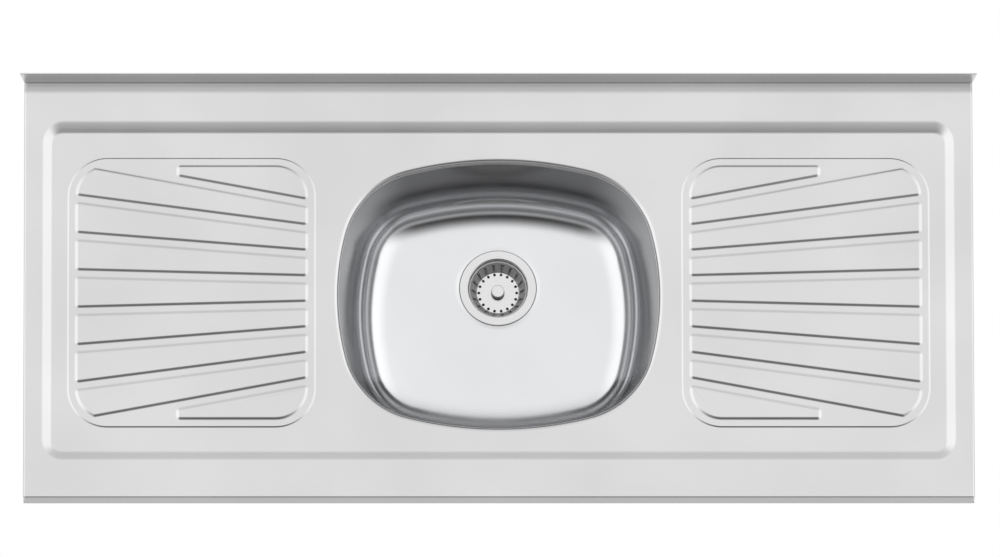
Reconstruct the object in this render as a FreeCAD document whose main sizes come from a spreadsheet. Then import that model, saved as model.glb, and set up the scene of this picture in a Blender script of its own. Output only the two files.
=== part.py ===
import FreeCAD, Part
import math
import os

import Sketcher
from FreeCAD import Placement, Rotation, Vector

# Stainless steel kitchen sink top, 1200 x 540 mm, with one bowl, two drainers and a basket strainer.
# Millimetres, +X along the length, +Y towards the wall, +Z up.
# The origin is the middle of the rear foot of the skirt, on the plane that rests on the cabinet.

doc = FreeCAD.newDocument("kitchen_sink")
sizes = doc.addObject("Spreadsheet::Sheet", "Sizes")

# driving dimensions, in millimetres or as counts
dimensions = {
    # pressed worktop
    "deck_length": 1200,
    "deck_depth": 540,
    "skirt_height": 30,
    "gauge": 0.8,
    "edge_round": 3,
    "return_width": 12,
    "upstand_height": 32,
    "upstand_lean": 3,
    "hem_width": 2,
    "upstand_flare": 5,
    "upstand_cove": 3,
    "recess_margin_side": 24.4,
    "recess_margin_end": 49.8,
    "recess_depth": 8,
    "recess_corner": 24.5,
    "recess_round": 4.8,
    "field_shift": 1.5,
    # drainers, mirror images of each other
    "drainer_gap": 32,
    "drainer_end_margin": 31.6,
    "drainer_side_margin": 45.5,
    "drainer_corner": 50,
    "drainer_rise": 1,
    "drainer_slope": 4,
    "panel_margin": 8,
    "panel_rise": 2.5,
    "panel_slope": 3,
    "panel_corner": 4,
    "panel_count": 7,
    "channel_width": 7,
    "inner_fan_share": 0.695,
    "outer_fan_share": 1.027,
    "corner_panel_length": 168,
    # bowl
    "bowl_length": 400,
    "bowl_side_margin": 48.2,
    "bowl_depth": 140,
    "long_side_radius": 462,
    "short_side_radius": 322,
    "bowl_corner": 106,
    "rim_round": 8,
    "collar_depth": 10,
    "wall_draft": 30,
    "floor_round": 55,
    "drain_place": 41,
    "drain_dish": 104,
    "drain_sink": 3.2,
    "drain_dish_slope": 3,
    "drain_hole": 86,
    # stiffening boards and the damping pad
    "board_gap": 18,
    "board_end_margin": 42,
    "board_side_margin": 65,
    "board_gauge": 15,
    "rail_width": 34,
    "rail_play": 1,
    "pad_length": 180,
    "pad_width": 60,
    "pad_gauge": 2,
    "pad_place": 56,
    # strainer body, its seals and its nut
    "flange_diameter": 98,
    "flange_gauge": 1.2,
    "throat_diameter": 75,
    "throat_lead": 3.5,
    "cup_wall": 1.2,
    "cup_depth": 32,
    "spigot_diameter": 46,
    "spigot_wall": 1.6,
    "spigot_length": 18,
    "hub_diameter": 16,
    "hub_height": 8,
    "hub_sink": 3,
    "spoke_width": 3.5,
    "spoke_height": 3,
    "spoke_count": 4,
    "seal_gauge": 1.5,
    "seal_width": 4.5,
    "gasket_gauge": 3,
    "gasket_width": 10,
    "friction_gauge": 1,
    "nut_height": 12,
    "nut_wall": 7,
    "nut_lug": 5,
    "nut_lug_width": 14,
    "nut_lug_count": 6,
    "thread_play": 0.2,
    # waste tail
    "tail_diameter": 40,
    "tail_wall": 1.5,
    "tail_length": 60,
    "tail_flange": 1.5,
    "tail_mark_place": 1,
    "tail_mark_width": 1,
    "tail_mark_depth": 0.3,
    "washer_gauge": 2,
    "coupling_height": 20,
    "coupling_wall": 4,
    "coupling_lip": 2.5,
    "coupling_rib": 1.6,
    "coupling_rib_width": 5,
    "coupling_rib_count": 10,
    "tail_play": 0.4,
    # lift-out basket
    "stem_diameter": 6,
    "bush_diameter": 10,
    "bush_flange": 14,
    "bush_flange_gauge": 1.5,
    "bush_lip": 11,
    "bush_lip_gauge": 1,
    "running_play": 0.05,
    "rest_play": 0.3,
    "basket_gauge": 0.8,
    "basket_height": 20,
    "basket_floor": 55,
    "basket_top": 72,
    "basket_rim": 73.4,
    "hole_ring": 48.6,
    "hole_diameter": 3.2,
    "hole_count": 18,
    "slot_ring": 61.5,
    "slot_length": 5.5,
    "slot_width": 3,
    "plug_gauge": 4,
    "plug_diameter": 50,
    "clip_gauge": 0.8,
    "clip_diameter": 11,
    "knob_diameter": 17,
    "knob_height": 11,
    "knob_neck": 9,
    "knob_neck_height": 4,
    "knob_round": 3.5,
    "knob_socket": 5,
}
for row, (name, value) in enumerate(dimensions.items(), 1):
    sizes.set(f"A{row}", name)
    sizes.set(f"B{row}", str(value))
    sizes.setAlias(f"B{row}", name)
doc.recompute()

def mm(name):
    return float(sizes.get(name))


# levels and places that several pieces share; the sheet metal is drawn about the middle of its field
deck_front = mm("field_shift") - mm("deck_depth") / 2
deck_rear = mm("field_shift") + mm("deck_depth") / 2
wall_plane = deck_rear + mm("upstand_lean") + mm("hem_width")
field_centre = Vector(0, -wall_plane, 0)
deck_top = mm("skirt_height")
field = deck_top - mm("recess_depth")
weld_level = field - mm("collar_depth")
bowl_floor = field - mm("bowl_depth")
full_turn = 360

# the bowl and the drainers fill the field inside its margins
bowl_width = mm("deck_depth") - 2 * mm("recess_margin_end") - 2 * mm("bowl_side_margin")
drainer_start = mm("bowl_length") / 2 + mm("drainer_gap")
drainer_end = mm("deck_length") / 2 - mm("recess_margin_side") - mm("drainer_end_margin")
drainer_place = (drainer_start + drainer_end) / 2
drainer_length = drainer_end - drainer_start
drainer_width = mm("deck_depth") - 2 * mm("recess_margin_end") - 2 * mm("drainer_side_margin")

overrun = mm("deck_depth")
touch = mm("gauge") / 1000
rough = mm("stem_diameter")     # where a sketch starts, before its constraints place it

centre_y = "-(Sizes.deck_depth / 2 + Sizes.upstand_lean + Sizes.hem_width)"
field_y = centre_y + " - Sizes.field_shift"
drain_y = field_y + " + Sizes.drain_place"
bowl_floor_z = "Sizes.skirt_height - Sizes.recess_depth - Sizes.bowl_depth"
dish_floor_z = bowl_floor_z + " - Sizes.drain_sink"
dish_under_z = dish_floor_z + " - Sizes.gauge"
flange_under_z = dish_floor_z + " + Sizes.seal_gauge"
cup_floor_z = flange_under_z + " + Sizes.flange_gauge - Sizes.cup_depth"
spigot_end_z = cup_floor_z + " - Sizes.cup_wall - Sizes.spigot_length"
hub_top_z = cup_floor_z + " - Sizes.hub_sink"
nut_bore = "(Sizes.throat_diameter / 2 + Sizes.cup_wall + Sizes.thread_play)"


# outlines

def arc(centre, radius, start, end, level):
    """An arc in a level plane, from the angle start to the angle end."""
    points = []
    for turn in (start, (start + end) / 2, end):
        points.append(Vector(centre[0] + radius * math.cos(turn), centre[1] + radius * math.sin(turn), level))
    return Part.Arc(*points).toShape()


def joined(arcs):
    """The arcs with a straight edge wherever one ends away from the next one's start."""
    edges = []
    for index, edge in enumerate(arcs):
        edges.append(edge)
        end = edge.Vertexes[-1].Point
        start = arcs[(index + 1) % len(arcs)].Vertexes[0].Point
        if end.distanceToPoint(start) > touch:
            edges.append(Part.makeLine(end, start))
    return Part.Wire(edges)


def rounded_rectangle(half_x, half_y, corner, level, centre_x=0):
    quarter = math.pi / 2
    arcs = []
    for turn, (side_x, side_y) in enumerate(((1, 1), (-1, 1), (-1, -1), (1, -1))):
        centre = (centre_x + side_x * (half_x - corner), side_y * (half_y - corner))
        arcs.append(arc(centre, corner, turn * quarter, (turn + 1) * quarter, level))
    return joined(arcs)


def bowl_outline(grow, level):
    """The bowl's outline of eight tangent arcs, moved outwards by grow."""
    long_radius = mm("long_side_radius")
    short_radius = mm("short_side_radius")
    corner = mm("bowl_corner")
    long_centre = long_radius - bowl_width / 2
    short_centre = short_radius - mm("bowl_length") / 2
    # the corner's centre lies where two circles about the side arcs' centres meet
    apart = math.hypot(long_centre, short_centre)
    reach_long = long_radius - corner
    reach_short = short_radius - corner
    along = (reach_long ** 2 - reach_short ** 2 + apart ** 2) / (2 * apart)
    across = math.sqrt(reach_long ** 2 - along ** 2)
    unit_x = -short_centre / apart
    unit_y = long_centre / apart
    corner_x = along * unit_x + across * unit_y
    corner_y = -long_centre + along * unit_y - across * unit_x
    long_turn = math.atan2(corner_y + long_centre, corner_x)
    short_turn = math.atan2(corner_y, corner_x + short_centre)
    half = math.pi
    arcs = []
    arcs.append(arc((-short_centre, 0), short_radius + grow, -short_turn, short_turn, level))
    arcs.append(arc((corner_x, corner_y), corner + grow, short_turn, long_turn, level))
    arcs.append(arc((0, -long_centre), long_radius + grow, long_turn, half - long_turn, level))
    arcs.append(arc((-corner_x, corner_y), corner + grow, half - long_turn, half - short_turn, level))
    arcs.append(arc((short_centre, 0), short_radius + grow, half - short_turn, half + short_turn, level))
    arcs.append(arc((-corner_x, -corner_y), corner + grow, half + short_turn, half + long_turn, level))
    arcs.append(arc((0, long_centre), long_radius + grow, half + long_turn, 2 * half - long_turn, level))
    arcs.append(arc((corner_x, -corner_y), corner + grow, -long_turn, -short_turn, level))
    return Part.Wire(arcs)


def loft(lower, upper):
    return Part.makeLoft([lower, upper], True, True)


def prism(wire, height):
    return Part.Face(wire).extrude(Vector(0, 0, height))


def edges_at(shape, level, inside=None):
    """Edges that lie in the plane at this level, inside a plan box of half lengths if one is given."""
    found = []
    for edge in shape.Edges:
        box = edge.BoundBox
        flat = abs(box.ZMin - level) < touch and abs(box.ZMax - level) < touch
        near = inside is None or (max(abs(box.XMin), abs(box.XMax)) < inside[0]
                                  and max(abs(box.YMin), abs(box.YMax)) < inside[1])
        if flat and near:
            found.append(edge)
    return found


# worktop

def panel_faces(side):
    """Plan faces of one drainer's raised panels, base outlines; side is 1 on the right and -1 on the left."""
    half_x = drainer_length / 2 - mm("panel_margin")
    half_y = drainer_width / 2 - mm("panel_margin")
    corner = mm("drainer_corner") - mm("panel_margin")
    middle = side * drainer_place
    area = Part.Face(rounded_rectangle(half_x, half_y, corner, 0, middle))
    inner = middle - side * half_x
    outer = middle + side * half_x
    count = int(mm("panel_count"))
    inner_pitch = mm("inner_fan_share") * 2 * half_y / count
    outer_pitch = mm("outer_fan_share") * 2 * half_y / count
    gap = mm("channel_width") / 2
    reach = drainer_width

    def wedge(low, high, start, end):
        """The strip between two channels; low and high are channel numbers, None is past the last one."""
        corners = []
        for place, channel, way in ((start, low, 1), (end, low, 1), (end, high, -1), (start, high, -1)):
            share = (place - inner) / (outer - inner)
            pitch = inner_pitch + (outer_pitch - inner_pitch) * share
            if channel is None:
                corners.append(Vector(place, -way * reach, 0))
            else:
                corners.append(Vector(place, channel * pitch + way * gap, 0))
        return Part.Face(Part.makePolygon(corners + corners[:1]))

    last = count / 2
    tip = inner + side * mm("corner_panel_length")
    strips = []
    for number in range(count):
        strips.append(wedge(number - last, number - last + 1, inner, outer))
    strips.append(wedge(last, None, inner, tip))
    strips.append(wedge(None, -last, inner, tip))
    rounding = mm("panel_corner")
    faces = []
    for strip in strips:
        plan = area.common(strip).Faces[0]
        faces.append(plan.makeOffset2D(-rounding).makeOffset2D(rounding))
    return faces


def drainer(side):
    """One drainer: a low step that carries the raised panels."""
    slope = mm("drainer_slope") / 2
    half_x = drainer_length / 2
    half_y = drainer_width / 2
    corner = mm("drainer_corner")
    middle = side * drainer_place
    lower = rounded_rectangle(half_x + slope, half_y + slope, corner + slope, field, middle)
    upper = rounded_rectangle(half_x - slope, half_y - slope, corner - slope, field + mm("drainer_rise"), middle)
    foot = rounded_rectangle(half_x + slope, half_y + slope, corner + slope, field - mm("drainer_rise"), middle)
    solids = [loft(foot, lower), loft(lower, upper)]
    base = field + mm("drainer_rise")
    for plan in panel_faces(side):
        low = plan.OuterWire.copy()
        high = plan.makeOffset2D(-mm("panel_slope")).OuterWire
        low.translate(Vector(0, 0, base))
        high.translate(Vector(0, 0, base + mm("panel_rise")))
        solids.append(loft(low, high))
    shape = solids[0]
    for solid in solids[1:]:
        shape = shape.fuse(solid)
    return shape


def box_between(low_x, low_y, low_z, high_x, high_y, high_z):
    return Part.makeBox(high_x - low_x, high_y - low_y, high_z - low_z, Vector(low_x, low_y, low_z))


def deck_block(inset, level):
    """The deck as a solid block, its skirts moved in by inset, its top surface brought to this level."""
    half_x = mm("deck_length") / 2 - inset
    front = deck_front + inset
    rear = wall_plane - inset
    block = box_between(-half_x, front, 0, half_x, rear, level)
    folds = []
    for edge in block.Edges:
        box = edge.BoundBox
        long_fold = box.ZMin > level / 2 and box.YMin < rear - inset - mm("hem_width")
        corner_fold = box.ZMin < level / 2 < box.ZMax and box.YMax < 0
        if long_fold or corner_fold:
            folds.append(edge)
    block = block.makeFillet(mm("edge_round") - inset, folds)
    recess_x = mm("deck_length") / 2 - mm("recess_margin_side")
    recess_y = mm("deck_depth") / 2 - mm("recess_margin_end")
    corner = mm("recess_corner")
    depth = mm("recess_depth")
    floor = level - depth
    top = rounded_rectangle(recess_x, recess_y, corner, level)
    bottom = rounded_rectangle(recess_x - depth, recess_y - depth, corner - depth, floor)
    block = block.cut(loft(bottom, top)).removeSplitter()
    near = (recess_x + inset + mm("gauge"), recess_y + inset + mm("gauge"))
    return block.makeFillet(mm("recess_round"), edges_at(block, level, near) + edges_at(block, floor, near))


def upstand(inset):
    """The upstand, narrow at its hem, its ends raked outwards."""
    rear = wall_plane - inset
    low_front = deck_rear + inset
    high_front = low_front + mm("upstand_lean")
    half_low = mm("deck_length") / 2 - inset
    half_high = half_low + mm("upstand_flare")
    foot = deck_top - mm("edge_round")
    top = deck_top + mm("upstand_height") - inset
    outlines = []
    for half, front, level in ((half_low, low_front, foot), (half_high, high_front, top)):
        corners = []
        for place in ((-half, front), (half, front), (half, rear), (-half, rear), (-half, front)):
            corners.append(Vector(place[0], place[1], level))
        outlines.append(Part.makePolygon(corners))
    return loft(*outlines)


def cove():
    """The rounded foot of the upstand, as a bar with a hollow front."""
    gauge = mm("gauge")
    radius = mm("upstand_cove")
    rise = mm("edge_round") + radius
    share = rise / (mm("edge_round") + mm("upstand_height"))
    wall = deck_rear + mm("upstand_lean") * share
    half = mm("deck_length") / 2 - mm("edge_round")
    low = Vector(-half, wall - radius, deck_top)
    high = Vector(-half, wall, deck_top + radius)
    bend = Vector(-half, wall - radius + radius * math.sin(math.pi / 4),
                  deck_top + radius - radius * math.cos(math.pi / 4))
    corners = [high, high + Vector(0, gauge, 0), Vector(-half, wall + gauge, deck_top - gauge),
               low - Vector(0, 0, gauge), low]
    outline = Part.Wire([Part.Arc(low, bend, high).toShape()] + Part.makePolygon(corners).Edges)
    return Part.Face(outline).extrude(Vector(2 * half, 0, 0))


def worktop():
    gauge = mm("gauge")
    drainers = [drainer(1), drainer(-1)]
    outside = deck_block(0, deck_top)
    for shape in drainers:
        outside = outside.fuse(shape)
    hole = prism(bowl_outline(0, -overrun), 2 * overrun)
    outside = outside.cut(hole)
    inside_rim = (mm("bowl_length") / 2 + gauge, bowl_width / 2 + gauge)
    outside = outside.makeFillet(mm("rim_round"), edges_at(outside, field, inside_rim))
    outside = outside.fuse(upstand(0))
    outside = outside.fuse(cove())

    core = deck_block(gauge, deck_top - gauge)
    for shape in drainers:
        lowered = shape.copy()
        lowered.translate(Vector(0, 0, -gauge))
        core = core.fuse(lowered)
    under = field - gauge
    collar = prism(bowl_outline(gauge, weld_level), overrun)
    core = core.cut(collar)
    inside_collar = (inside_rim[0] + gauge, inside_rim[1] + gauge)
    core = core.makeFillet(mm("rim_round") - gauge, edges_at(core, under, inside_collar))
    core = core.fuse(upstand(gauge))
    half_x = mm("deck_length") / 2
    flange = mm("return_width")
    core = core.cut(box_between(-half_x, deck_front, -gauge, half_x, wall_plane, gauge))
    opening = box_between(-half_x + flange, deck_front + flange, -gauge,
                          half_x - flange, wall_plane - flange, gauge)
    return outside.cut(core).cut(opening)


def bowl():
    """The pressed bowl below the weld to the worktop's collar."""
    gauge = mm("gauge")
    depth = weld_level - bowl_floor
    draft = mm("wall_draft")
    slope = math.atan2(draft, depth)
    grow = gauge / math.cos(slope)
    inner = loft(bowl_outline(-draft, bowl_floor), bowl_outline(0, weld_level))
    inner = inner.makeFillet(mm("floor_round"), edges_at(inner, bowl_floor))
    lower = bowl_outline(grow - draft - gauge * math.tan(slope), bowl_floor - gauge)
    outer = loft(lower, bowl_outline(grow, weld_level))
    outer = outer.makeFillet(mm("floor_round") + gauge, edges_at(outer, bowl_floor - gauge))
    drain = Vector(0, mm("drain_place"), 0)
    dish_floor = bowl_floor - mm("drain_sink")
    dish_top = mm("drain_dish") / 2
    dish_low = dish_top - mm("drain_dish_slope")
    pressed = Part.makeCone(dish_low + gauge, dish_top + gauge, mm("drain_sink"),
                            drain + Vector(0, 0, dish_floor - gauge))
    dish = Part.makeCone(dish_low, dish_top, mm("drain_sink"), drain + Vector(0, 0, dish_floor))
    hole = Part.makeCylinder(mm("drain_hole") / 2, overrun, drain + Vector(0, 0, dish_floor - overrun / 2))
    return outer.fuse(pressed).cut(inner).cut(dish).cut(hole)


def plain(label, shape, base):
    piece = doc.addObject("Part::Feature", label)
    piece.Shape = shape
    piece.Placement = Placement(base, Rotation())
    return piece


# simple pieces

def board(label, lengths, place):
    """A rectangular piece; lengths and place are expressions of the sheet's sizes."""
    piece = doc.addObject("Part::Box", label)
    for name, value in zip(("Length", "Width", "Height"), lengths):
        piece.setExpression(name, value)
    for name, value in zip("xyz", place):
        piece.setExpression(f"Placement.Base.{name}", value)
    return piece


def plane(body, role):
    for feature in body.Origin.OriginFeatures:
        if feature.Role == role:
            return feature


def fix_point(sketch, line, across, up):
    """Hold the start of a line at two expressions; zero holds it on an axis."""
    for value, kind, axis in ((across, "DistanceX", -2), (up, "DistanceY", -1)):
        if value == 0:
            sketch.addConstraint(Sketcher.Constraint("PointOnObject", line, 1, axis))
        else:
            number = sketch.addConstraint(Sketcher.Constraint(kind, -1, 1, line, 1, (1 + line) * rough))
            sketch.setExpression(f"Constraints[{number}]", value)


def outline_sketch(body, name, role, outline, lift=None):
    """A closed outline of straight edges, each corner held by expressions."""
    sketch = body.newObject("Sketcher::SketchObject", name)
    sketch.AttachmentSupport = [(plane(body, role), "")]
    sketch.MapMode = "FlatFace"
    if lift is not None:
        sketch.setExpression("AttachmentOffset.Base.z", lift)
    count = len(outline)
    start = []
    for index in range(count):
        turn = 2 * math.pi * index / count
        start.append(Vector(2 * rough + rough * math.cos(turn), 2 * rough + rough * math.sin(turn), 0))
    for index in range(count):
        sketch.addGeometry(Part.LineSegment(start[index], start[(index + 1) % count]))
    for index in range(count):
        sketch.addConstraint(Sketcher.Constraint("Coincident", index, 2, (index + 1) % count, 1))
    for index, corner in enumerate(outline):
        fix_point(sketch, index, corner[0], corner[1])
    return sketch


def turned(label, outline, foot):
    """A turned piece on the drain's axis: its half section as (radius, height) corners above its foot."""
    body = doc.addObject("PartDesign::Body", label)
    sketch = outline_sketch(body, label + "_section", "XZ_Plane", outline)
    turn = body.newObject("PartDesign::Revolution", label + "_turned")
    turn.Profile = sketch
    turn.ReferenceAxis = (sketch, ["V_Axis"])
    turn.Angle = full_turn
    body.setExpression("Placement.Base.y", drain_y)
    body.setExpression("Placement.Base.z", foot)
    return body


def circle_sketch(body, name, radius, lift, away=None):
    sketch = body.newObject("Sketcher::SketchObject", name)
    sketch.AttachmentSupport = [(plane(body, "XY_Plane"), "")]
    sketch.MapMode = "FlatFace"
    sketch.setExpression("AttachmentOffset.Base.z", lift)
    sketch.addGeometry(Part.Circle(Vector(rough, 0, 0), Vector(0, 0, 1), rough))
    sketch.addConstraint(Sketcher.Constraint("PointOnObject", 0, 3, -1))
    if away is None:
        sketch.addConstraint(Sketcher.Constraint("PointOnObject", 0, 3, -2))
    else:
        number = sketch.addConstraint(Sketcher.Constraint("DistanceX", -1, 1, 0, 3, rough))
        sketch.setExpression(f"Constraints[{number}]", away)
    number = sketch.addConstraint(Sketcher.Constraint("Radius", 0, rough))
    sketch.setExpression(f"Constraints[{number}]", radius)
    return sketch


def feature(body, kind, name, sketch, length, reverse=False):
    made = body.newObject(kind, name)
    made.Profile = sketch
    made.Type = "Length"
    made.setExpression("Length", length)
    made.Reversed = reverse
    return made


def around(body, name, original, count):
    pattern = body.newObject("PartDesign::PolarPattern", name)
    pattern.Originals = [original]
    pattern.Axis = (plane(body, "Z_Axis"), [""])
    pattern.Angle = full_turn
    pattern.setExpression("Occurrences", count)
    body.Tip = pattern
    return pattern


def bar_outline(start, end, width):
    """A bar along X, in plan, moved up by its own half width so that every corner is positive."""
    return [(start, 0), (end, 0), (end, width), (start, width)]


def half_down(sketch, width):
    sketch.setExpression("AttachmentOffset.Base.y", f"-({width}) / 2")


def round_edges(body, name, radius, picked):
    """Round the edges of the body's tip that the test picks."""
    doc.recompute()
    last = body.Tip
    names = []
    for index, edge in enumerate(last.Shape.Edges):
        if picked(edge):
            names.append(f"Edge{index + 1}")
    rounding = body.newObject("PartDesign::Fillet", name)
    rounding.Base = (last, names)
    rounding.setExpression("Radius", radius)
    return rounding


def is_circle(edge, radius, level):
    """Whether an edge is a level circle of this radius at this height."""
    curve = edge.Curve
    return (isinstance(curve, Part.Circle) and abs(curve.Radius - radius) < touch
            and abs(curve.Center.z - level) < touch)


# sheet metal
plain("worktop", worktop(), field_centre)
plain("bowl", bowl(), field_centre)

# boards and rails under the deck, damping pad under the bowl
under_field_z = "Sizes.skirt_height - Sizes.recess_depth - Sizes.gauge - Sizes.board_gauge"
board_start = "(Sizes.bowl_length / 2 + Sizes.board_gap)"
board_end = "(Sizes.deck_length / 2 - Sizes.board_end_margin)"
board_width = "Sizes.deck_depth - 2 * Sizes.board_side_margin"
for label, start in (("board_left", "-" + board_end), ("board_right", board_start)):
    board(label,
          (f"{board_end} - {board_start}", board_width, "Sizes.board_gauge"),
          (start, centre_y + f" - ({board_width}) / 2", under_field_z))
rail_length = "Sizes.deck_length - 2 * Sizes.edge_round - 2 * Sizes.rail_play"
rail_height = "Sizes.skirt_height - 2 * Sizes.gauge"
rail_front_y = centre_y + " - Sizes.deck_depth / 2 + Sizes.edge_round + Sizes.rail_play"
rail_rear_y = centre_y + " + Sizes.deck_depth / 2 - Sizes.rail_width"
for label, place_y in (("rail_front", rail_front_y), ("rail_rear", rail_rear_y)):
    board(label,
          (rail_length, "Sizes.rail_width", rail_height),
          (f"-({rail_length}) / 2", place_y, "Sizes.gauge"))
board("sound_pad",
      ("Sizes.pad_length", "Sizes.pad_width", "Sizes.pad_gauge"),
      ("-Sizes.pad_length / 2",
       field_y + " - Sizes.pad_place - Sizes.pad_width / 2",
       bowl_floor_z + " - Sizes.gauge - Sizes.pad_gauge"))

# strainer body: flange, cup, outlet mouth with a four-armed spider, spigot
cup_inner = "Sizes.throat_diameter / 2"
cup_outer = "(Sizes.throat_diameter / 2 + Sizes.cup_wall)"
spigot_outer = "Sizes.spigot_diameter / 2"
spigot_inner = "(Sizes.spigot_diameter / 2 - Sizes.spigot_wall)"
cup_foot = "Sizes.spigot_length"
cup_floor = "(Sizes.spigot_length + Sizes.cup_wall)"
flange_top = "(Sizes.spigot_length + Sizes.cup_wall + Sizes.cup_depth)"
strainer = turned("strainer_body", [
    (spigot_inner, 0),
    (spigot_outer, 0),
    (spigot_outer, cup_foot),
    (cup_outer, cup_foot),
    (cup_outer, f"{flange_top} - Sizes.flange_gauge - Sizes.throat_lead"),
    (f"{cup_outer} + Sizes.throat_lead - Sizes.flange_gauge", f"{flange_top} - Sizes.flange_gauge"),
    ("Sizes.flange_diameter / 2", f"{flange_top} - Sizes.flange_gauge"),
    ("Sizes.flange_diameter / 2", flange_top),
    (f"{cup_inner} + Sizes.throat_lead", flange_top),
    (cup_inner, f"{flange_top} - Sizes.throat_lead"),
    (cup_inner, cup_floor),
    (spigot_inner, cup_floor),
], spigot_end_z)
hub_foot = f"{cup_floor} - Sizes.hub_sink - Sizes.hub_height"
spoke_foot = f"{cup_floor} - Sizes.hub_sink - Sizes.spoke_height"
hub_circle = circle_sketch(strainer, "hub_circle", "Sizes.hub_diameter / 2", hub_foot)
feature(strainer, "PartDesign::Pad", "hub", hub_circle, "Sizes.hub_height")
doc.recompute()
spoke_bar = outline_sketch(strainer, "spoke_bar", "XY_Plane",
                           bar_outline(0, f"{spigot_inner} + Sizes.spigot_wall / 2", "Sizes.spoke_width"),
                           spoke_foot)
half_down(spoke_bar, "Sizes.spoke_width")
spoke = feature(strainer, "PartDesign::Pad", "spoke", spoke_bar, "Sizes.spoke_height")
doc.recompute()
around(strainer, "spokes", spoke, "Sizes.spoke_count")
doc.recompute()
bush_bore = circle_sketch(strainer, "hub_bore_circle", "Sizes.bush_diameter / 2 + Sizes.running_play", hub_foot)
feature(strainer, "PartDesign::Pocket", "hub_bore", bush_bore, "Sizes.hub_height", True)

# rings between flange, bowl and nut
seal_outer = "Sizes.drain_hole / 2 + Sizes.seal_width"
turned("flange_seal", [
    ("Sizes.drain_hole / 2", 0),
    (seal_outer, 0),
    (seal_outer, "Sizes.seal_gauge"),
    ("Sizes.drain_hole / 2", "Sizes.seal_gauge"),
], dish_floor_z)
ring_outer = f"({nut_bore} + Sizes.gasket_width)"
gasket_foot_z = dish_under_z + " - Sizes.gasket_gauge"
friction_foot_z = gasket_foot_z + " - Sizes.friction_gauge"
turned("under_gasket", [
    ("Sizes.drain_hole / 2", 0),
    (ring_outer, 0),
    (ring_outer, "Sizes.gasket_gauge"),
    ("Sizes.drain_hole / 2", "Sizes.gasket_gauge"),
], gasket_foot_z)
turned("friction_ring", [
    (nut_bore, 0),
    (ring_outer, 0),
    (ring_outer, "Sizes.friction_gauge"),
    (nut_bore, "Sizes.friction_gauge"),
], friction_foot_z)

# ring nut with lugs
nut_outer = f"({nut_bore} + Sizes.nut_wall)"
nut = turned("lock_nut", [
    (nut_bore, 0),
    (nut_outer, 0),
    (nut_outer, "Sizes.nut_height"),
    (nut_bore, "Sizes.nut_height"),
], friction_foot_z + " - Sizes.nut_height")
doc.recompute()
lug_bar = outline_sketch(nut, "lug_bar", "XY_Plane",
                         bar_outline(f"{nut_bore} + Sizes.nut_wall / 2", f"{nut_outer} + Sizes.nut_lug",
                                     "Sizes.nut_lug_width"), "0")
half_down(lug_bar, "Sizes.nut_lug_width")
lug = feature(nut, "PartDesign::Pad", "lug", lug_bar, "Sizes.nut_height")
doc.recompute()
around(nut, "lugs", lug, "Sizes.nut_lug_count")

# waste tail below the spigot, with a groove that marks how far a trap slides on
tail_outer = "Sizes.tail_diameter / 2"
tail_inner = "(Sizes.tail_diameter / 2 - Sizes.tail_wall)"
tail_foot_z = spigot_end_z + " - Sizes.washer_gauge - Sizes.tail_length"
turned("tail_washer", [
    (tail_inner, 0),
    (spigot_outer, 0),
    (spigot_outer, "Sizes.washer_gauge"),
    (tail_inner, "Sizes.washer_gauge"),
], spigot_end_z + " - Sizes.washer_gauge")
mark_top = "Sizes.tail_length - Sizes.tail_flange - Sizes.coupling_lip - Sizes.tail_mark_place"
mark_foot = mark_top + " - Sizes.tail_mark_width"
mark_floor = tail_outer + " - Sizes.tail_mark_depth"
turned("tailpiece", [
    (tail_inner, 0),
    (tail_outer, 0),
    (tail_outer, mark_foot),
    (mark_floor, mark_foot),
    (mark_floor, mark_top),
    (tail_outer, mark_top),
    (tail_outer, "Sizes.tail_length - Sizes.tail_flange"),
    (spigot_outer, "Sizes.tail_length - Sizes.tail_flange"),
    (spigot_outer, "Sizes.tail_length"),
    (tail_inner, "Sizes.tail_length"),
], tail_foot_z)
coupling_bore = f"({spigot_outer} + Sizes.thread_play)"
coupling_outer = f"({spigot_outer} + Sizes.thread_play + Sizes.coupling_wall)"
coupling_foot_z = spigot_end_z + " - Sizes.washer_gauge - Sizes.tail_flange - Sizes.coupling_lip"
coupling = turned("coupling_nut", [
    (f"{tail_outer} + Sizes.tail_play", 0),
    (coupling_outer, 0),
    (coupling_outer, "Sizes.coupling_height"),
    (coupling_bore, "Sizes.coupling_height"),
    (coupling_bore, "Sizes.coupling_lip"),
    (f"{tail_outer} + Sizes.tail_play", "Sizes.coupling_lip"),
], coupling_foot_z)
doc.recompute()
rib_bar = outline_sketch(coupling, "rib_bar", "XY_Plane",
                         bar_outline(f"{coupling_bore} + Sizes.coupling_wall / 2",
                                     f"{coupling_outer} + Sizes.coupling_rib",
                                     "Sizes.coupling_rib_width"), "0")
half_down(rib_bar, "Sizes.coupling_rib_width")
rib = feature(coupling, "PartDesign::Pad", "rib", rib_bar, "Sizes.coupling_height")
doc.recompute()
around(coupling, "ribs", rib, "Sizes.coupling_rib_count")

# bush that turns in the spider's hub
bush_inner = "(Sizes.stem_diameter / 2 + Sizes.running_play)"
bush_foot_z = f"{hub_top_z} - Sizes.hub_height - Sizes.rest_play - Sizes.bush_lip_gauge"
bush_shank = "Sizes.bush_lip_gauge + Sizes.rest_play + Sizes.hub_height + Sizes.rest_play"
turned("stem_bush", [
    (bush_inner, 0),
    ("Sizes.bush_lip / 2", 0),
    ("Sizes.bush_lip / 2", "Sizes.bush_lip_gauge"),
    ("Sizes.bush_diameter / 2", "Sizes.bush_lip_gauge"),
    ("Sizes.bush_diameter / 2", bush_shank),
    ("Sizes.bush_flange / 2", bush_shank),
    ("Sizes.bush_flange / 2", f"{bush_shank} + Sizes.bush_flange_gauge"),
    (bush_inner, f"{bush_shank} + Sizes.bush_flange_gauge"),
], bush_foot_z)

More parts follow.
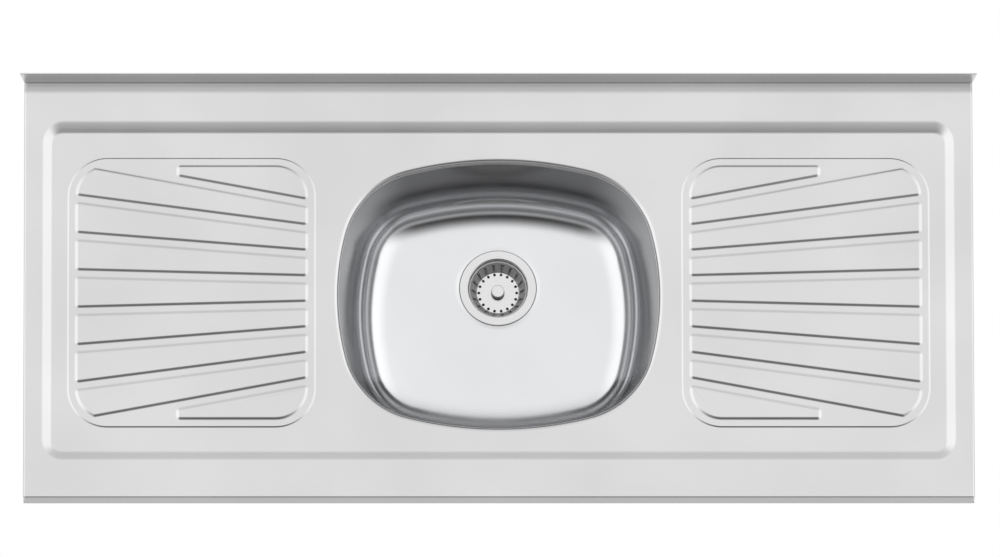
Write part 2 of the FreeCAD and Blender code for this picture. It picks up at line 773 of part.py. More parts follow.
# lift-out basket, seated with its plug on the cup's floor
plug_foot_z = f"({cup_floor_z} + Sizes.rest_play)"
basket_foot_z = f"({plug_foot_z} + Sizes.plug_gauge)"
stem_radius = "Sizes.stem_diameter / 2"
turned("basket_seal", [
    (stem_radius, 0),
    ("Sizes.plug_diameter / 2 - Sizes.plug_gauge / 2", 0),
    ("Sizes.plug_diameter / 2", "Sizes.plug_gauge / 2"),
    ("Sizes.plug_diameter / 2 - Sizes.plug_gauge / 4", "Sizes.plug_gauge"),
    (stem_radius, "Sizes.plug_gauge"),
], plug_foot_z)
basket = turned("basket_cup", [
    (stem_radius, 0),
    ("Sizes.basket_floor / 2", 0),
    ("Sizes.basket_top / 2", "Sizes.basket_height - Sizes.basket_gauge"),
    ("Sizes.basket_rim / 2", "Sizes.basket_height - Sizes.basket_gauge"),
    ("Sizes.basket_rim / 2", "Sizes.basket_height"),
    ("Sizes.basket_top / 2 - Sizes.basket_gauge", "Sizes.basket_height"),
    ("Sizes.basket_floor / 2 - Sizes.basket_gauge", "Sizes.basket_gauge"),
    (stem_radius, "Sizes.basket_gauge"),
], basket_foot_z)
doc.recompute()
hole_circle = circle_sketch(basket, "floor_hole_circle", "Sizes.hole_diameter / 2", "0", "Sizes.hole_ring / 2")
floor_hole = feature(basket, "PartDesign::Pocket", "floor_hole", hole_circle, "Sizes.basket_gauge", True)
doc.recompute()
around(basket, "floor_holes", floor_hole, "Sizes.hole_count")
doc.recompute()
slot_bar = outline_sketch(basket, "slot_bar", "XY_Plane",
                          bar_outline("Sizes.slot_ring / 2 - Sizes.slot_length / 2",
                                      "Sizes.slot_ring / 2 + Sizes.slot_length / 2",
                                      "Sizes.slot_width"), "0")
half_down(slot_bar, "Sizes.slot_width")
side_slot = feature(basket, "PartDesign::Pocket", "side_slot", slot_bar, "Sizes.basket_height", True)
doc.recompute()
around(basket, "side_slots", side_slot, "Sizes.hole_count")

stem_foot_z = f"({hub_top_z} - Sizes.hub_height - Sizes.bush_lip_gauge - 2 * Sizes.rest_play)"
knob_foot_z = f"({basket_foot_z} + Sizes.basket_gauge)"
stem = doc.addObject("Part::Cylinder", "basket_stem")
stem.setExpression("Radius", stem_radius)
stem.setExpression("Height", f"{knob_foot_z} + Sizes.knob_socket - {stem_foot_z}")
stem.setExpression("Placement.Base.y", drain_y)
stem.setExpression("Placement.Base.z", stem_foot_z)
turned("stem_clip", [
    (stem_radius, 0),
    ("Sizes.clip_diameter / 2", 0),
    ("Sizes.clip_diameter / 2", "Sizes.clip_gauge"),
    (stem_radius, "Sizes.clip_gauge"),
], f"{plug_foot_z} - Sizes.clip_gauge")
knob = turned("basket_knob", [
    (0, "Sizes.knob_socket"),
    (stem_radius, "Sizes.knob_socket"),
    (stem_radius, 0),
    ("Sizes.knob_neck / 2", 0),
    ("Sizes.knob_neck / 2", "Sizes.knob_neck_height"),
    ("Sizes.knob_diameter / 2", "Sizes.knob_neck_height + Sizes.clip_gauge"),
    ("Sizes.knob_diameter / 2", "Sizes.knob_height"),
    (0, "Sizes.knob_height"),
], knob_foot_z)
round_edges(knob, "knob_rounding", "Sizes.knob_round",
            lambda edge: is_circle(edge, mm("knob_diameter") / 2, mm("knob_height")))

doc.recompute()

nodes = [
    "worktop", "bowl", "board_left", "board_right", "rail_front", "rail_rear", "sound_pad",
    "strainer_body", "flange_seal", "under_gasket", "friction_ring", "lock_nut",
    "tail_washer", "tailpiece", "coupling_nut", "stem_bush",
    "basket_cup", "basket_seal", "basket_stem", "stem_clip", "basket_knob",
]
for item in doc.Objects:
    if "Invalid" in item.State or "Error" in item.State:
        raise RuntimeError(f"{item.Name} did not recompute: {item.State}")
os.makedirs("parts", exist_ok=True)
for node in nodes:
    piece = doc.getObjectsByLabel(node)[0]
    shape = piece.Shape
    if shape.isNull() or not shape.isValid():
        raise RuntimeError(f"{node} has no valid shape")
    box = shape.BoundBox
    print(f"{node}: {len(shape.Solids)} solid, {shape.Volume / 1000:.1f} cm3, "
          f"x {box.XMin:.1f}..{box.XMax:.1f}, y {box.YMin:.1f}..{box.YMax:.1f}, z {box.ZMin:.1f}..{box.ZMax:.1f}")
    shape.exportStep(f"parts/{node}.step")
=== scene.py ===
import bpy
import bmesh
import math
from mathutils import Matrix, Vector
from mathutils.geometry import delaunay_2d_cdt


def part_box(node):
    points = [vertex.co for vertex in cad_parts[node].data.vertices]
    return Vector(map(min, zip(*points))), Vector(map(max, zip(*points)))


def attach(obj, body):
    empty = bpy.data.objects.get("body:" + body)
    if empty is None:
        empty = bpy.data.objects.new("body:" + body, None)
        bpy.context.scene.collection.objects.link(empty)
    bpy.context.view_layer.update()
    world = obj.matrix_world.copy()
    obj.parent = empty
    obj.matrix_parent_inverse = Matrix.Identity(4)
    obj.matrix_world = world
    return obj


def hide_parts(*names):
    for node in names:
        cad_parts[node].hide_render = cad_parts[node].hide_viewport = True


# Stainless sink top with one bowl, two drainers and a basket strainer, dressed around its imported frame.
# Everything is in metres. +X runs along the sink, +Y towards the wall, +Z up.

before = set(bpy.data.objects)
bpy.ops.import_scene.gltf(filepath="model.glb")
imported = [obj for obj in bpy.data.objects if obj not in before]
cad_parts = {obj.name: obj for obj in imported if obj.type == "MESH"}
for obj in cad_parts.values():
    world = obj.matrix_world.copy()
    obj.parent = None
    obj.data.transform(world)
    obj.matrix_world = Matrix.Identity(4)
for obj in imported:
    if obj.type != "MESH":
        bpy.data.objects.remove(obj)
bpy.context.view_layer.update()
bpy.context.scene.view_settings.view_transform = "Standard"


# the sheet's own sizes and the places that the frame gives
def middleOf(node):
    low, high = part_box(node)
    return (low + high) / 2


deck = {
    "halfLength": 0.600,
    "depth": 0.540,
    "rearExtra": 0.005,      # from the upstand's foot to the rear face
    "top": 0.030,
    "gauge": 0.0008,
    "fieldShift": 0.0015,    # the field lies a little towards the front
    "foldRadius": 0.003,
    "cornerRadius": 0.004,
    "flangeWidth": 0.012,
    "calm": 0.0015,          # level strip beside every bend, which keeps the shading even
    "borderCalm": 0.0006,
}
touch = 1e-6                 # nearer than this is the same place
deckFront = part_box("worktop")[0].y
deckMiddle = Vector((0, deckFront + deck["depth"] / 2, 0))
fieldMiddle = deckMiddle - Vector((0, deck["fieldShift"], 0))
drainAxis = Vector((0, middleOf("tailpiece").y, 0))
print("frame read, deck middle at", round(deckMiddle.y, 4), "drain at", round(drainAxis.y, 4))


# small helpers that all the pieces use

# turn a bmesh into a smooth shaded piece that rides on a body of the frame
def finishPiece(name, bm, body, material, nodes, sharpAngle=40):
    mesh = bpy.data.meshes.new(name)
    bm.to_mesh(mesh)
    bm.free()
    mesh.shade_smooth()
    mesh.set_sharp_from_angle(angle=math.radians(sharpAngle))
    piece = bpy.data.objects.new(name, mesh)
    bpy.context.scene.collection.objects.link(piece)
    mesh.materials.append(material)
    piece.modifiers.new("flat faces stay flat", "WEIGHTED_NORMAL").keep_sharp = True
    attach(piece, body)
    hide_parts(*nodes)
    return piece


# a level face with rounded corners, made from one grid cell
def roundedFace(bm, halfX, halfY, corner, centre, level, segments=14):
    before = set(bm.faces)
    verts = bmesh.ops.create_grid(bm, x_segments=1, y_segments=1, size=1)["verts"]
    bmesh.ops.scale(bm, verts=verts, vec=(halfX, halfY, 1))
    bmesh.ops.translate(bm, verts=verts, vec=(centre.x, centre.y, level))
    bmesh.ops.bevel(bm, geom=verts, offset=corner, offset_type="OFFSET", segments=segments,
                    profile=0.5, affect="VERTICES", material=-1)
    return [f for f in bm.faces if f not in before][0]


# inset a face again and again, each step a width inwards and a rise, and open it: two rims are left
def pressRing(bm, face, steps):
    face.normal_update()
    before = set(bm.faces)
    for width, rise in steps:
        bmesh.ops.inset_region(bm, faces=[face], thickness=width, depth=rise,
                               use_boundary=True, use_even_offset=True)
    outer = looseEdges([f for f in bm.faces if f not in before])
    inner = list(face.edges)
    bmesh.ops.delete(bm, geom=[face], context="FACES_ONLY")
    return outer, inner


# the edges of these faces that no other face touches
def looseEdges(faces):
    return [e for f in faces for e in f.edges if e.is_boundary]


# steps of an even slope whose two ends are eased over a share of its width
def pressedSlope(width, rise, steps, soft=0.2):
    def height(t):
        if t < soft:
            part = t * t / (2 * soft)
        elif t > 1 - soft:
            part = 1 - soft - (1 - t) ** 2 / (2 * soft)
        else:
            part = t - soft / 2
        return rise * part / (1 - soft)
    return [(width / steps, height((i + 1) / steps) - height(i / steps)) for i in range(steps)]


# a quarter circle inwards: from upright to level if startUp, else from level to straight down
def quarterRound(radius, startUp, count=6):
    steps = []
    for i in range(count):
        a, b = math.pi / 2 * i / count, math.pi / 2 * (i + 1) / count
        if startUp:
            steps.append((radius * (math.cos(a) - math.cos(b)), radius * (math.sin(b) - math.sin(a))))
        else:
            steps.append((radius * (math.sin(b) - math.sin(a)), radius * (math.cos(b) - math.cos(a))))
    return steps


# fill the level region that these closed rims bound, with holes left open: a triangle whose middle lies
# outside is left out, told by the rims that a line to its right crosses
def fillFlat(bm, edges):
    verts = list(dict.fromkeys(v for e in edges for v in e.verts))
    places = {v: i for i, v in enumerate(verts)}
    ends = [(places[e.verts[0]], places[e.verts[1]]) for e in edges]
    triangles = delaunay_2d_cdt([v.co.to_2d() for v in verts], ends, [], 0, 1e-7)[2]
    for triangle in triangles:
        corners = [verts[i] for i in triangle]
        middle = sum((v.co for v in corners), Vector()) / len(corners)
        crossings = 0
        for a, b in ((e.verts[0].co, e.verts[1].co) for e in edges):
            if (a.y > middle.y) != (b.y > middle.y):
                crossings += a.x + (b.x - a.x) * (middle.y - a.y) / (b.y - a.y) > middle.x
        if crossings % 2:
            bm.faces.new(corners)


# give the sheet its gauge below the face that is seen
def thicken(bm, gauge):
    bmesh.ops.recalc_face_normals(bm, faces=bm.faces[:])
    bm.normal_update()
    if sum(f.normal.z * f.calc_area() for f in bm.faces) < 0:
        bmesh.ops.reverse_faces(bm, faces=bm.faces[:])
    bmesh.ops.solidify(bm, geom=bm.faces[:] + bm.edges[:] + bm.verts[:], thickness=gauge)


# finishes

# a new material with its nodes, links and shader, and the place that its patterns read
def newMaterial(name):
    material = bpy.data.materials.new(name)
    material.use_nodes = True
    nodes, links = material.node_tree.nodes, material.node_tree.links
    shader = nodes["Principled BSDF"]
    place = nodes.new("ShaderNodeTexCoord").outputs["Object"]
    return material, nodes, links, shader, place


def noiseAt(nodes, links, place, scale, detail=2.0, stretch=(1, 1, 1)):
    mapping = nodes.new("ShaderNodeMapping")
    mapping.inputs["Scale"].default_value = stretch
    links.new(place, mapping.inputs["Vector"])
    noise = nodes.new("ShaderNodeTexNoise")
    noise.inputs["Scale"].default_value = scale
    noise.inputs["Detail"].default_value = detail
    links.new(mapping.outputs["Vector"], noise.inputs["Vector"])
    return noise.outputs["Fac"]


def ramp(nodes, links, source, low, high, lowColour, highColour):
    node = nodes.new("ShaderNodeValToRGB")
    node.color_ramp.elements[0].position = low
    node.color_ramp.elements[0].color = (*lowColour, 1)
    node.color_ramp.elements[1].position = high
    node.color_ramp.elements[1].color = (*highColour, 1)
    links.new(source, node.inputs["Fac"])
    return node.outputs["Color"]


# noise stays between about 0.3 and 0.7, stretched here to the whole range
def spread(nodes, links, source, low, high):
    node = nodes.new("ShaderNodeMapRange")
    for name, value in (("From Min", 0.3), ("From Max", 0.7), ("To Min", low), ("To Max", high)):
        node.inputs[name].default_value = value
    links.new(source, node.inputs["Value"])
    return node.outputs["Result"]


def bumpFrom(nodes, links, shader, source, strength, distance):
    bump = nodes.new("ShaderNodeBump")
    bump.inputs["Strength"].default_value = strength
    bump.inputs["Distance"].default_value = distance
    links.new(source, bump.inputs["Height"])
    links.new(bump.outputs["Normal"], shader.inputs["Normal"])


# a soft step from low to high between two places
def smoothRange(nodes, links, source, start, end, low, high):
    node = nodes.new("ShaderNodeMapRange")
    node.interpolation_type = "SMOOTHSTEP"
    for name, value in (("From Min", start), ("From Max", end), ("To Min", low), ("To Max", high)):
        node.inputs[name].default_value = value
    links.new(source, node.inputs["Value"])
    return node.outputs["Result"]


def arithmetic(nodes, links, kind, first, second):
    node = nodes.new("ShaderNodeMath")
    node.operation = kind
    for socket, value in zip(node.inputs, (first, second)):
        if isinstance(value, float):
            socket.default_value = value
        else:
            links.new(value, socket)
    return node.outputs["Value"]


# the place on the piece, split into X, Y and Z
def placeParts(nodes, links):
    parts = nodes.new("ShaderNodeSeparateXYZ")
    links.new(nodes.new("ShaderNodeTexCoord").outputs["Object"], parts.inputs["Vector"])
    return parts.outputs


# multiply the base colour by a shade
def shadeColour(nodes, links, shader, shade):
    darkened = nodes.new("ShaderNodeVectorMath")
    darkened.operation = "SCALE"
    links.new(shader.inputs["Base Color"].links[0].from_socket, darkened.inputs[0])
    links.new(shade, darkened.inputs["Scale"])
    links.new(darkened.outputs["Vector"], shader.inputs["Base Color"])


steel = {
    "cloudScale": 6.0,
    "colourSpread": 0.03,
    "polishScale": 24.0,
    "roughnessSpread": 0.02,
    "grainScale": 400.0,
    "grainDepth": 0.0002,
}


# stainless sheet: a fine rolled grain, cloudy polish, metal colour that hardly varies
def steelFinish(name, tone):
    material, nodes, links, shader, place = newMaterial(name)
    shader.inputs["Metallic"].default_value = 1.0
    cloud = noiseAt(nodes, links, place, steel["cloudScale"], 3.0)
    dark = tuple(c * (1 - steel["colourSpread"]) for c in tone["colour"])
    light = tuple(min(1, c * (1 + steel["colourSpread"])) for c in tone["colour"])
    links.new(ramp(nodes, links, cloud, 0.35, 0.65, dark, light), shader.inputs["Base Color"])
    polish = noiseAt(nodes, links, place, steel["polishScale"], 4.0)
    low, high = tone["roughness"] - steel["roughnessSpread"], tone["roughness"] + steel["roughnessSpread"]
    links.new(spread(nodes, links, polish, low, high), shader.inputs["Roughness"])
    grain = noiseAt(nodes, links, place, steel["grainScale"], 2.0, tone["grain"])
    bumpFrom(nodes, links, shader, grain, tone["grainStrength"], steel["grainDepth"])
    return material


deckTone = {
    "colour": (0.635, 0.632, 0.634),
    "roughness": 0.19,
    "grain": (0.08, 1, 1),       # drawn out along the sink
    "grainStrength": 0.06,
    "skirtX": 0.596,             # the skirts lie outside these two
    "skirtY": -0.541,
    "foldLow": 0.0268,           # between these heights their painted shade ends
    "foldHigh": 0.0296,
    "skirtShade": 0.50,
    "rearStart": -0.0200,        # the strip before the upstand gets painted shade
    "rearEnd": -0.0140,
    "rearShade": 0.69,
    "upstandY": -0.00495,
}


# rolled sheet with painted shade: its folded skirts, and a strip before the upstand, are painted darker than
# its top
def deckSteelWithPaintedShade(name):
    tone = deckTone
    material = steelFinish(name, tone)
    nodes, links = material.node_tree.nodes, material.node_tree.links
    parts = placeParts(nodes, links)

    def combine(kind, first, second):
        return arithmetic(nodes, links, kind, first, second)

    # painted shade: the skirts below the fold are darkened by place, standing in for their darker reflections
    beside = combine("GREATER_THAN", combine("ABSOLUTE", parts["X"], 0.0), tone["skirtX"])
    before = combine("LESS_THAN", parts["Y"], tone["skirtY"])
    fold = smoothRange(nodes, links, parts["Z"], tone["foldLow"], tone["foldHigh"], tone["skirtShade"], 1.0)
    skirt = combine("MULTIPLY", combine("SUBTRACT", 1.0, fold), combine("MAXIMUM", beside, before))
    # painted shade on the strip before the upstand, darker towards the upstand; the upstand itself is left
    # out
    strip = smoothRange(nodes, links, parts["Y"], tone["rearStart"], tone["rearEnd"], 1.0, tone["rearShade"])
    wall = combine("GREATER_THAN", parts["Y"], tone["upstandY"])
    shade = combine("MULTIPLY", combine("SUBTRACT", 1.0, skirt), combine("MAXIMUM", strip, wall))
    shadeColour(nodes, links, nodes["Principled BSDF"], shade)
    return material


bowlTone = {
    "colour": (0.71, 0.715, 0.728),
    "roughness": 0.15,
    "grain": (1, 1, 0.15),       # drawn out down the walls
    "grainStrength": 0.04,
    "floorEnd": -0.112,          # painted shade grows from this height to the next
    "wallStart": -0.030,
    "wallShade": 0.30,
    "brushedStart": -0.370,      # towards the front the finish gets satin
    "brushedEnd": -0.425,
    "brushedRoughness": 0.22,
}


# deep-drawn steel: bright polished floor, walls darkened with painted shade; the front is dulled to satin
def bowlSteelWithPaintedShade(name):
    tone = bowlTone
    material = steelFinish(name, tone)
    nodes, links = material.node_tree.nodes, material.node_tree.links
    shader = nodes["Principled BSDF"]
    parts = placeParts(nodes, links)
    # painted shade: the walls get darker with height above the floor, standing in for the dark reflections in
    # the bowl
    shade = smoothRange(nodes, links, parts["Z"], tone["floorEnd"], tone["wallStart"], 1.0, tone["wallShade"])
    shadeColour(nodes, links, shader, shade)
    satin = smoothRange(nodes, links, parts["Y"], tone["brushedEnd"], tone["brushedStart"],
                        tone["brushedRoughness"], 0.0)
    polish = shader.inputs["Roughness"].links[0].from_socket
    links.new(arithmetic(nodes, links, "ADD", polish, satin), shader.inputs["Roughness"])
    return material


turnedTone = {"colour": (0.68, 0.68, 0.68), "roughness": 0.18, "grain": (1, 1, 1), "grainStrength": 0.03}
strainerTone = {"start": -0.1202, "end": -0.1214, "shade": 0.85, "roughness": 0.50}     # painted shade from flange into cup
basketTone = {"start": -0.1452, "end": -0.1425, "shade": 0.90, "roughness": 0.60}       # painted shade from floor up the wall
knobTone = {"start": -0.1348, "end": -0.1356, "shade": 0.16, "roughness": 0.35}         # cap to grip; the dark grip is painted shade
polishedTone = {"colour": (0.66, 0.66, 0.66), "roughness": 0.16, "grain": (1, 1, 1), "grainStrength": 0.03}


# steel of the waste: bright on the flat, rougher and darkened with painted shade over a range of heights
def turnedSteelWithPaintedShade(name, tone):
    material = steelFinish(name, turnedTone)
    nodes, links = material.node_tree.nodes, material.node_tree.links
    shader = nodes["Principled BSDF"]
    height = placeParts(nodes, links)["Z"]
    # painted shade: darker past the given height, as the cup, the basket wall and the knob's grip lie in
    # shade
    shade = smoothRange(nodes, links, height, tone["start"], tone["end"], 1.0, tone["shade"])
    shadeColour(nodes, links, shader, shade)
    dull = smoothRange(nodes, links, height, tone["start"], tone["end"],
                       turnedTone["roughness"], tone["roughness"])
    links.new(dull, shader.inputs["Roughness"])
    return material


moulding = {
    "cloudScale": 30.0,
    "cloudShade": 0.93,
    "skinScale": 900.0,
    "skinDepth": 0.0003,
    "roughnessSpread": 0.05,
}
dampingTone = {"colour": (0.035, 0.035, 0.037), "roughness": 0.80, "skin": 0.30}
sealTone = {"colour": (0.02, 0.02, 0.021), "roughness": 0.60, "skin": 0.15}
whiteTone = {"colour": (0.80, 0.80, 0.78), "roughness": 0.38, "skin": 0.06}
nylonTone = {"colour": (0.80, 0.78, 0.70), "roughness": 0.45, "skin": 0.06}


# moulded plastic or rubber with a slightly textured skin
def plasticFinish(name, tone):
    m = moulding
    material, nodes, links, shader, place = newMaterial(name)
    cloud = noiseAt(nodes, links, place, m["cloudScale"], 2.0)
    dark = tuple(c * m["cloudShade"] for c in tone["colour"])
    links.new(ramp(nodes, links, cloud, 0.3, 0.7, dark, tone["colour"]), shader.inputs["Base Color"])
    fine = noiseAt(nodes, links, place, m["skinScale"], 2.0)
    low, high = tone["roughness"] - m["roughnessSpread"], tone["roughness"] + m["roughnessSpread"]
    links.new(spread(nodes, links, fine, low, high), shader.inputs["Roughness"])
    bumpFrom(nodes, links, shader, fine, tone["skin"], m["skinDepth"])
    return material


chipboard = {
    "chipScale": 260.0,
    "chipStretch": (0.45, 1.0, 1.0),
    "darkChip": (0.36, 0.24, 0.13),
    "lightChip": (0.66, 0.50, 0.31),
    "roughness": 0.85,
    "relief": 0.35,
    "reliefDepth": 0.0006,
}


# pressed particle board: chips of several browns, a dry uneven skin
def boardFinish(name):
    c = chipboard
    material, nodes, links, shader, place = newMaterial(name)
    warp = nodes.new("ShaderNodeMapping")
    warp.inputs["Scale"].default_value = c["chipStretch"]
    links.new(place, warp.inputs["Vector"])
    chips = nodes.new("ShaderNodeTexVoronoi")
    chips.inputs["Scale"].default_value = c["chipScale"]
    chips.inputs["Randomness"].default_value = 1.0
    links.new(warp.outputs["Vector"], chips.inputs["Vector"])
    shade = nodes.new("ShaderNodeSeparateColor")
    links.new(chips.outputs["Color"], shade.inputs["Color"])
    browns = ramp(nodes, links, shade.outputs["Red"], 0.1, 0.9, c["darkChip"], c["lightChip"])
    links.new(browns, shader.inputs["Base Color"])
    shader.inputs["Roughness"].default_value = c["roughness"]
    bumpFrom(nodes, links, shader, chips.outputs["Distance"], c["relief"], c["reliefDepth"])
    return material


deckSteel = deckSteelWithPaintedShade("deck steel")
bowlSteel = bowlSteelWithPaintedShade("bowl steel")
polishedSteel = steelFinish("polished steel", polishedTone)
basketSteel = turnedSteelWithPaintedShade("basket steel", basketTone)
strainerSteel = turnedSteelWithPaintedShade("strainer steel", strainerTone)
knobSteel = turnedSteelWithPaintedShade("knob steel", knobTone)
particleBoard = boardFinish("particle board")
dampingRubber = plasticFinish("damping rubber", dampingTone)
sealRubber = plasticFinish("seal rubber", sealTone)
whitePlastic = plasticFinish("white plastic", whiteTone)
nylonPlastic = plasticFinish("nylon", nylonTone)
print("finishes ready")


# worktop: deck, recess, drainers, rim of the bowl's hole, skirts, upstand

recess = {
    "sideMargin": 0.0218,
    "endMargin": 0.0498,
    "corner": 0.0275,
    "slope": 0.0150,
    "rearSpread": 0.0048,    # by this the rear slope is wider
    "depth": 0.008,
}
bowlShape = {
    "shift": 0.0025,         # towards the front
    "halfX": 0.202,
    "halfY": 0.172,
    "longRadius": 0.462,
    "shortRadius": 0.322,
    "corner": 0.106,
    "rim": 0.008,
    "collar": 0.010,
    "depth": 0.140,
    "draft": 0.030,
    "floorRound": 0.053,
    "floorCalm": 0.0006,
    "floorStretch": 0.04,    # share by which the floor is longer from front to rear than an even wall leaves
    "dishRadius": 0.0570,
    "dishSlope": 0.0125,
    "dishDepth": 0.0032,
    "holeRadius": 0.043,
}
fieldLevel = deck["top"] - recess["depth"]
weldLevel = fieldLevel - bowlShape["collar"]
floorLevel = fieldLevel - bowlShape["depth"]


# a level face with the bowl's outline of eight tangent arcs, moved outwards by grow
def bowlFace(bm, grow, level):
    b = bowlShape
    longCentre, shortCentre = b["longRadius"] - b["halfY"], b["shortRadius"] - b["halfX"]
    apart = math.hypot(longCentre, shortCentre)
    reachLong, reachShort = b["longRadius"] - b["corner"], b["shortRadius"] - b["corner"]
    along = (reachLong ** 2 - reachShort ** 2 + apart ** 2) / (2 * apart)
    across = math.sqrt(reachLong ** 2 - along ** 2)
    cornerX = (across * longCentre - along * shortCentre) / apart
    cornerY = (along * longCentre + across * shortCentre) / apart - longCentre
    longTurn = math.atan2(cornerY + longCentre, cornerX)
    shortTurn = math.atan2(cornerY, cornerX + shortCentre)
    quadrant = []     # from the middle of the right side to the middle of the rear side
    for centre, radius, start, end, count in (
            ((-shortCentre, 0), b["shortRadius"], 0, shortTurn, 10),
            ((cornerX, cornerY), b["corner"], shortTurn, longTurn, 22),
            ((0, -longCentre), b["longRadius"], longTurn, math.pi / 2, 14)):
        for i in range(count):
            turn = start + (end - start) * i / count
            quadrant.append((centre[0] + (radius + grow) * math.cos(turn),
                             centre[1] + (radius + grow) * math.sin(turn)))
    top = (0, b["halfY"] + grow)
    half = quadrant + [top] + [(-x, y) for x, y in reversed(quadrant)]
    outline = half + [(x, -y) for x, y in reversed(half)][1:-1]
    verts = [bm.verts.new((x + fieldMiddle.x, y + fieldMiddle.y - b["shift"], level)) for x, y in outline]
    return bm.faces.new(verts)


drainer = {
    "place": 0.388,          # from the sink's middle to the drainer's
    "halfX": 0.156,
    "halfY": 0.1747,
    "corner": 0.050,
    "slope": 0.0028,
    "rise": 0.0013,
    "margin": 0.008,         # from the step's edge to the panels
    "channel": 0.006,        # between two panels
    "pitchInner": 0.0331,    # the channels' spacing at the bowl's side
    "pitchOuter": 0.0489,    # and at the far side
    "panels": 7,
    "tip": 0.168,            # length of the two corner panels
    "panelCalm": 0.0005,
    "panelSlope": 0.0050,
    "panelRise": 0.0023,
    "panelCorner": 0.0066,
}


# cut a rounded face along the sides of the fan's channels and keep the panels between them
def splitIntoPanels(bm, side, level):
    d = drainer
    calm = d["panelCalm"]
    margin, channel = d["margin"] - calm, d["channel"] - 2 * calm
    middle = Vector((side * d["place"], fieldMiddle.y, 0))
    face = roundedFace(bm, d["halfX"] - margin, d["halfY"] - margin, d["corner"] - margin, middle, level, 16)
    inner = middle.x - side * (d["halfX"] - d["margin"])
    outer = middle.x + side * (d["halfX"] - d["margin"])

    lines = []     # a point on each channel's middle and the way across it
    for i in range(d["panels"] + 1):
        number = i - d["panels"] / 2
        start = Vector((inner, middle.y + number * d["pitchInner"], level))
        end = Vector((outer, middle.y + number * d["pitchOuter"], level))
        lines.append((start, Vector((0, 0, side)).cross((end - start).normalized())))

    def cutAlong(faces, point, across):
        geom = set(faces)
        for f in faces:
            geom.update(f.edges)
            geom.update(f.verts)
        cut = bmesh.ops.bisect_plane(bm, geom=list(geom), dist=1e-7, plane_co=point, plane_no=across)
        return [g for g in cut["geom"] if isinstance(g, bmesh.types.BMFace)]

    faces = [face]
    for start, across in lines:
        for way in (-1, 1):
            faces = cutAlong(faces, start + across * way * channel / 2, across)
    panels, rest = [], []
    for f in faces:
        offsets = [(f.calc_center_median() - start).dot(across) for start, across in lines]
        if min(abs(o) for o in offsets) < channel / 2:
            rest.append(f)
        elif min(offsets) > 0 or max(offsets) < 0:     # a corner panel, shortened to its blunt tip
            parts = cutAlong([f], Vector((inner + side * (d["tip"] + calm), 0, 0)), Vector((side, 0, 0)))
            parts.sort(key=lambda part: part.calc_center_median().x * side)
            panels.append(parts[0])
            rest += parts[1:]
        else:
            panels.append(f)
    bmesh.ops.delete(bm, geom=rest, context="FACES")
    return panels


# round the sharp corners of a face that stands by itself, and give back the new face
def roundCorners(bm, face, size):
    sharp = 0.3     # a turn of more than this is a corner, less belongs to a curve
    reach = {loop.vert: size / math.tan(loop.calc_angle() / 2) for loop in face.loops
             if math.pi - loop.calc_angle() > sharp}
    for vert, far in reach.items():
        for edge in list(vert.link_edges):
            near = edge.other_vert(vert)
            while near not in reach and (near.co - vert.co).length < 1.2 * far:
                beyond = [e.other_vert(near) for e in near.link_edges if e.other_vert(near) is not vert][0]
                bmesh.ops.dissolve_verts(bm, verts=[near])
                near = beyond
    others = set(bm.faces) - set(list(reach)[0].link_faces)
    for vert, far in reach.items():
        room = min(e.calc_length() * (0.48 if e.other_vert(vert) in reach else 0.95) for e in vert.link_edges)
        bmesh.ops.bevel(bm, geom=[vert], offset=min(far, room), offset_type="OFFSET", segments=6,
                        profile=0.5, affect="VERTICES", material=-1)
    corner = [f for f in bm.faces if f not in others][0]
    corner.normal_update()
    return corner


# one drainer: a low step with raised panels. Gives back the rim of its foot
def pressDrainer(bm, side):
    d = drainer
    middle = Vector((side * d["place"], fieldMiddle.y, 0))
    calm = (deck["calm"], 0)
    grow = d["slope"] / 2 + deck["calm"]
    foot = roundedFace(bm, d["halfX"] + grow, d["halfY"] + grow, d["corner"] + grow, middle, fieldLevel, 18)
    footRim, netRim = pressRing(bm, foot, [calm] + pressedSlope(d["slope"], d["rise"], 6) + [calm])
    before = set(bm.faces)
    panels = splitIntoPanels(bm, side, fieldLevel + d["rise"])
    for i, f in enumerate(panels):
        panels[i] = roundCorners(bm, f, d["panelCorner"])
    panelCalm = (d["panelCalm"], 0)
    for width, rise in [panelCalm] + pressedSlope(d["panelSlope"], d["panelRise"], 6) + [panelCalm]:
        bmesh.ops.inset_individual(bm, faces=panels, thickness=width, depth=rise, use_even_offset=True)
    fillFlat(bm, netRim + looseEdges([f for f in bm.faces if f not in before]))
    return footRim


# move the recess's rear slope outwards, the more the higher up it is
def spreadRearSlope(verts):
    turnStart = fieldMiddle.y + deck["depth"] / 2 - recess["endMargin"] - recess["corner"]
    for v in verts:
        share = min(1, max(0, (v.co.y - turnStart) / recess["corner"]))
        v.co.y += recess["rearSpread"] * share * (v.co.z - fieldLevel) / recess["depth"]


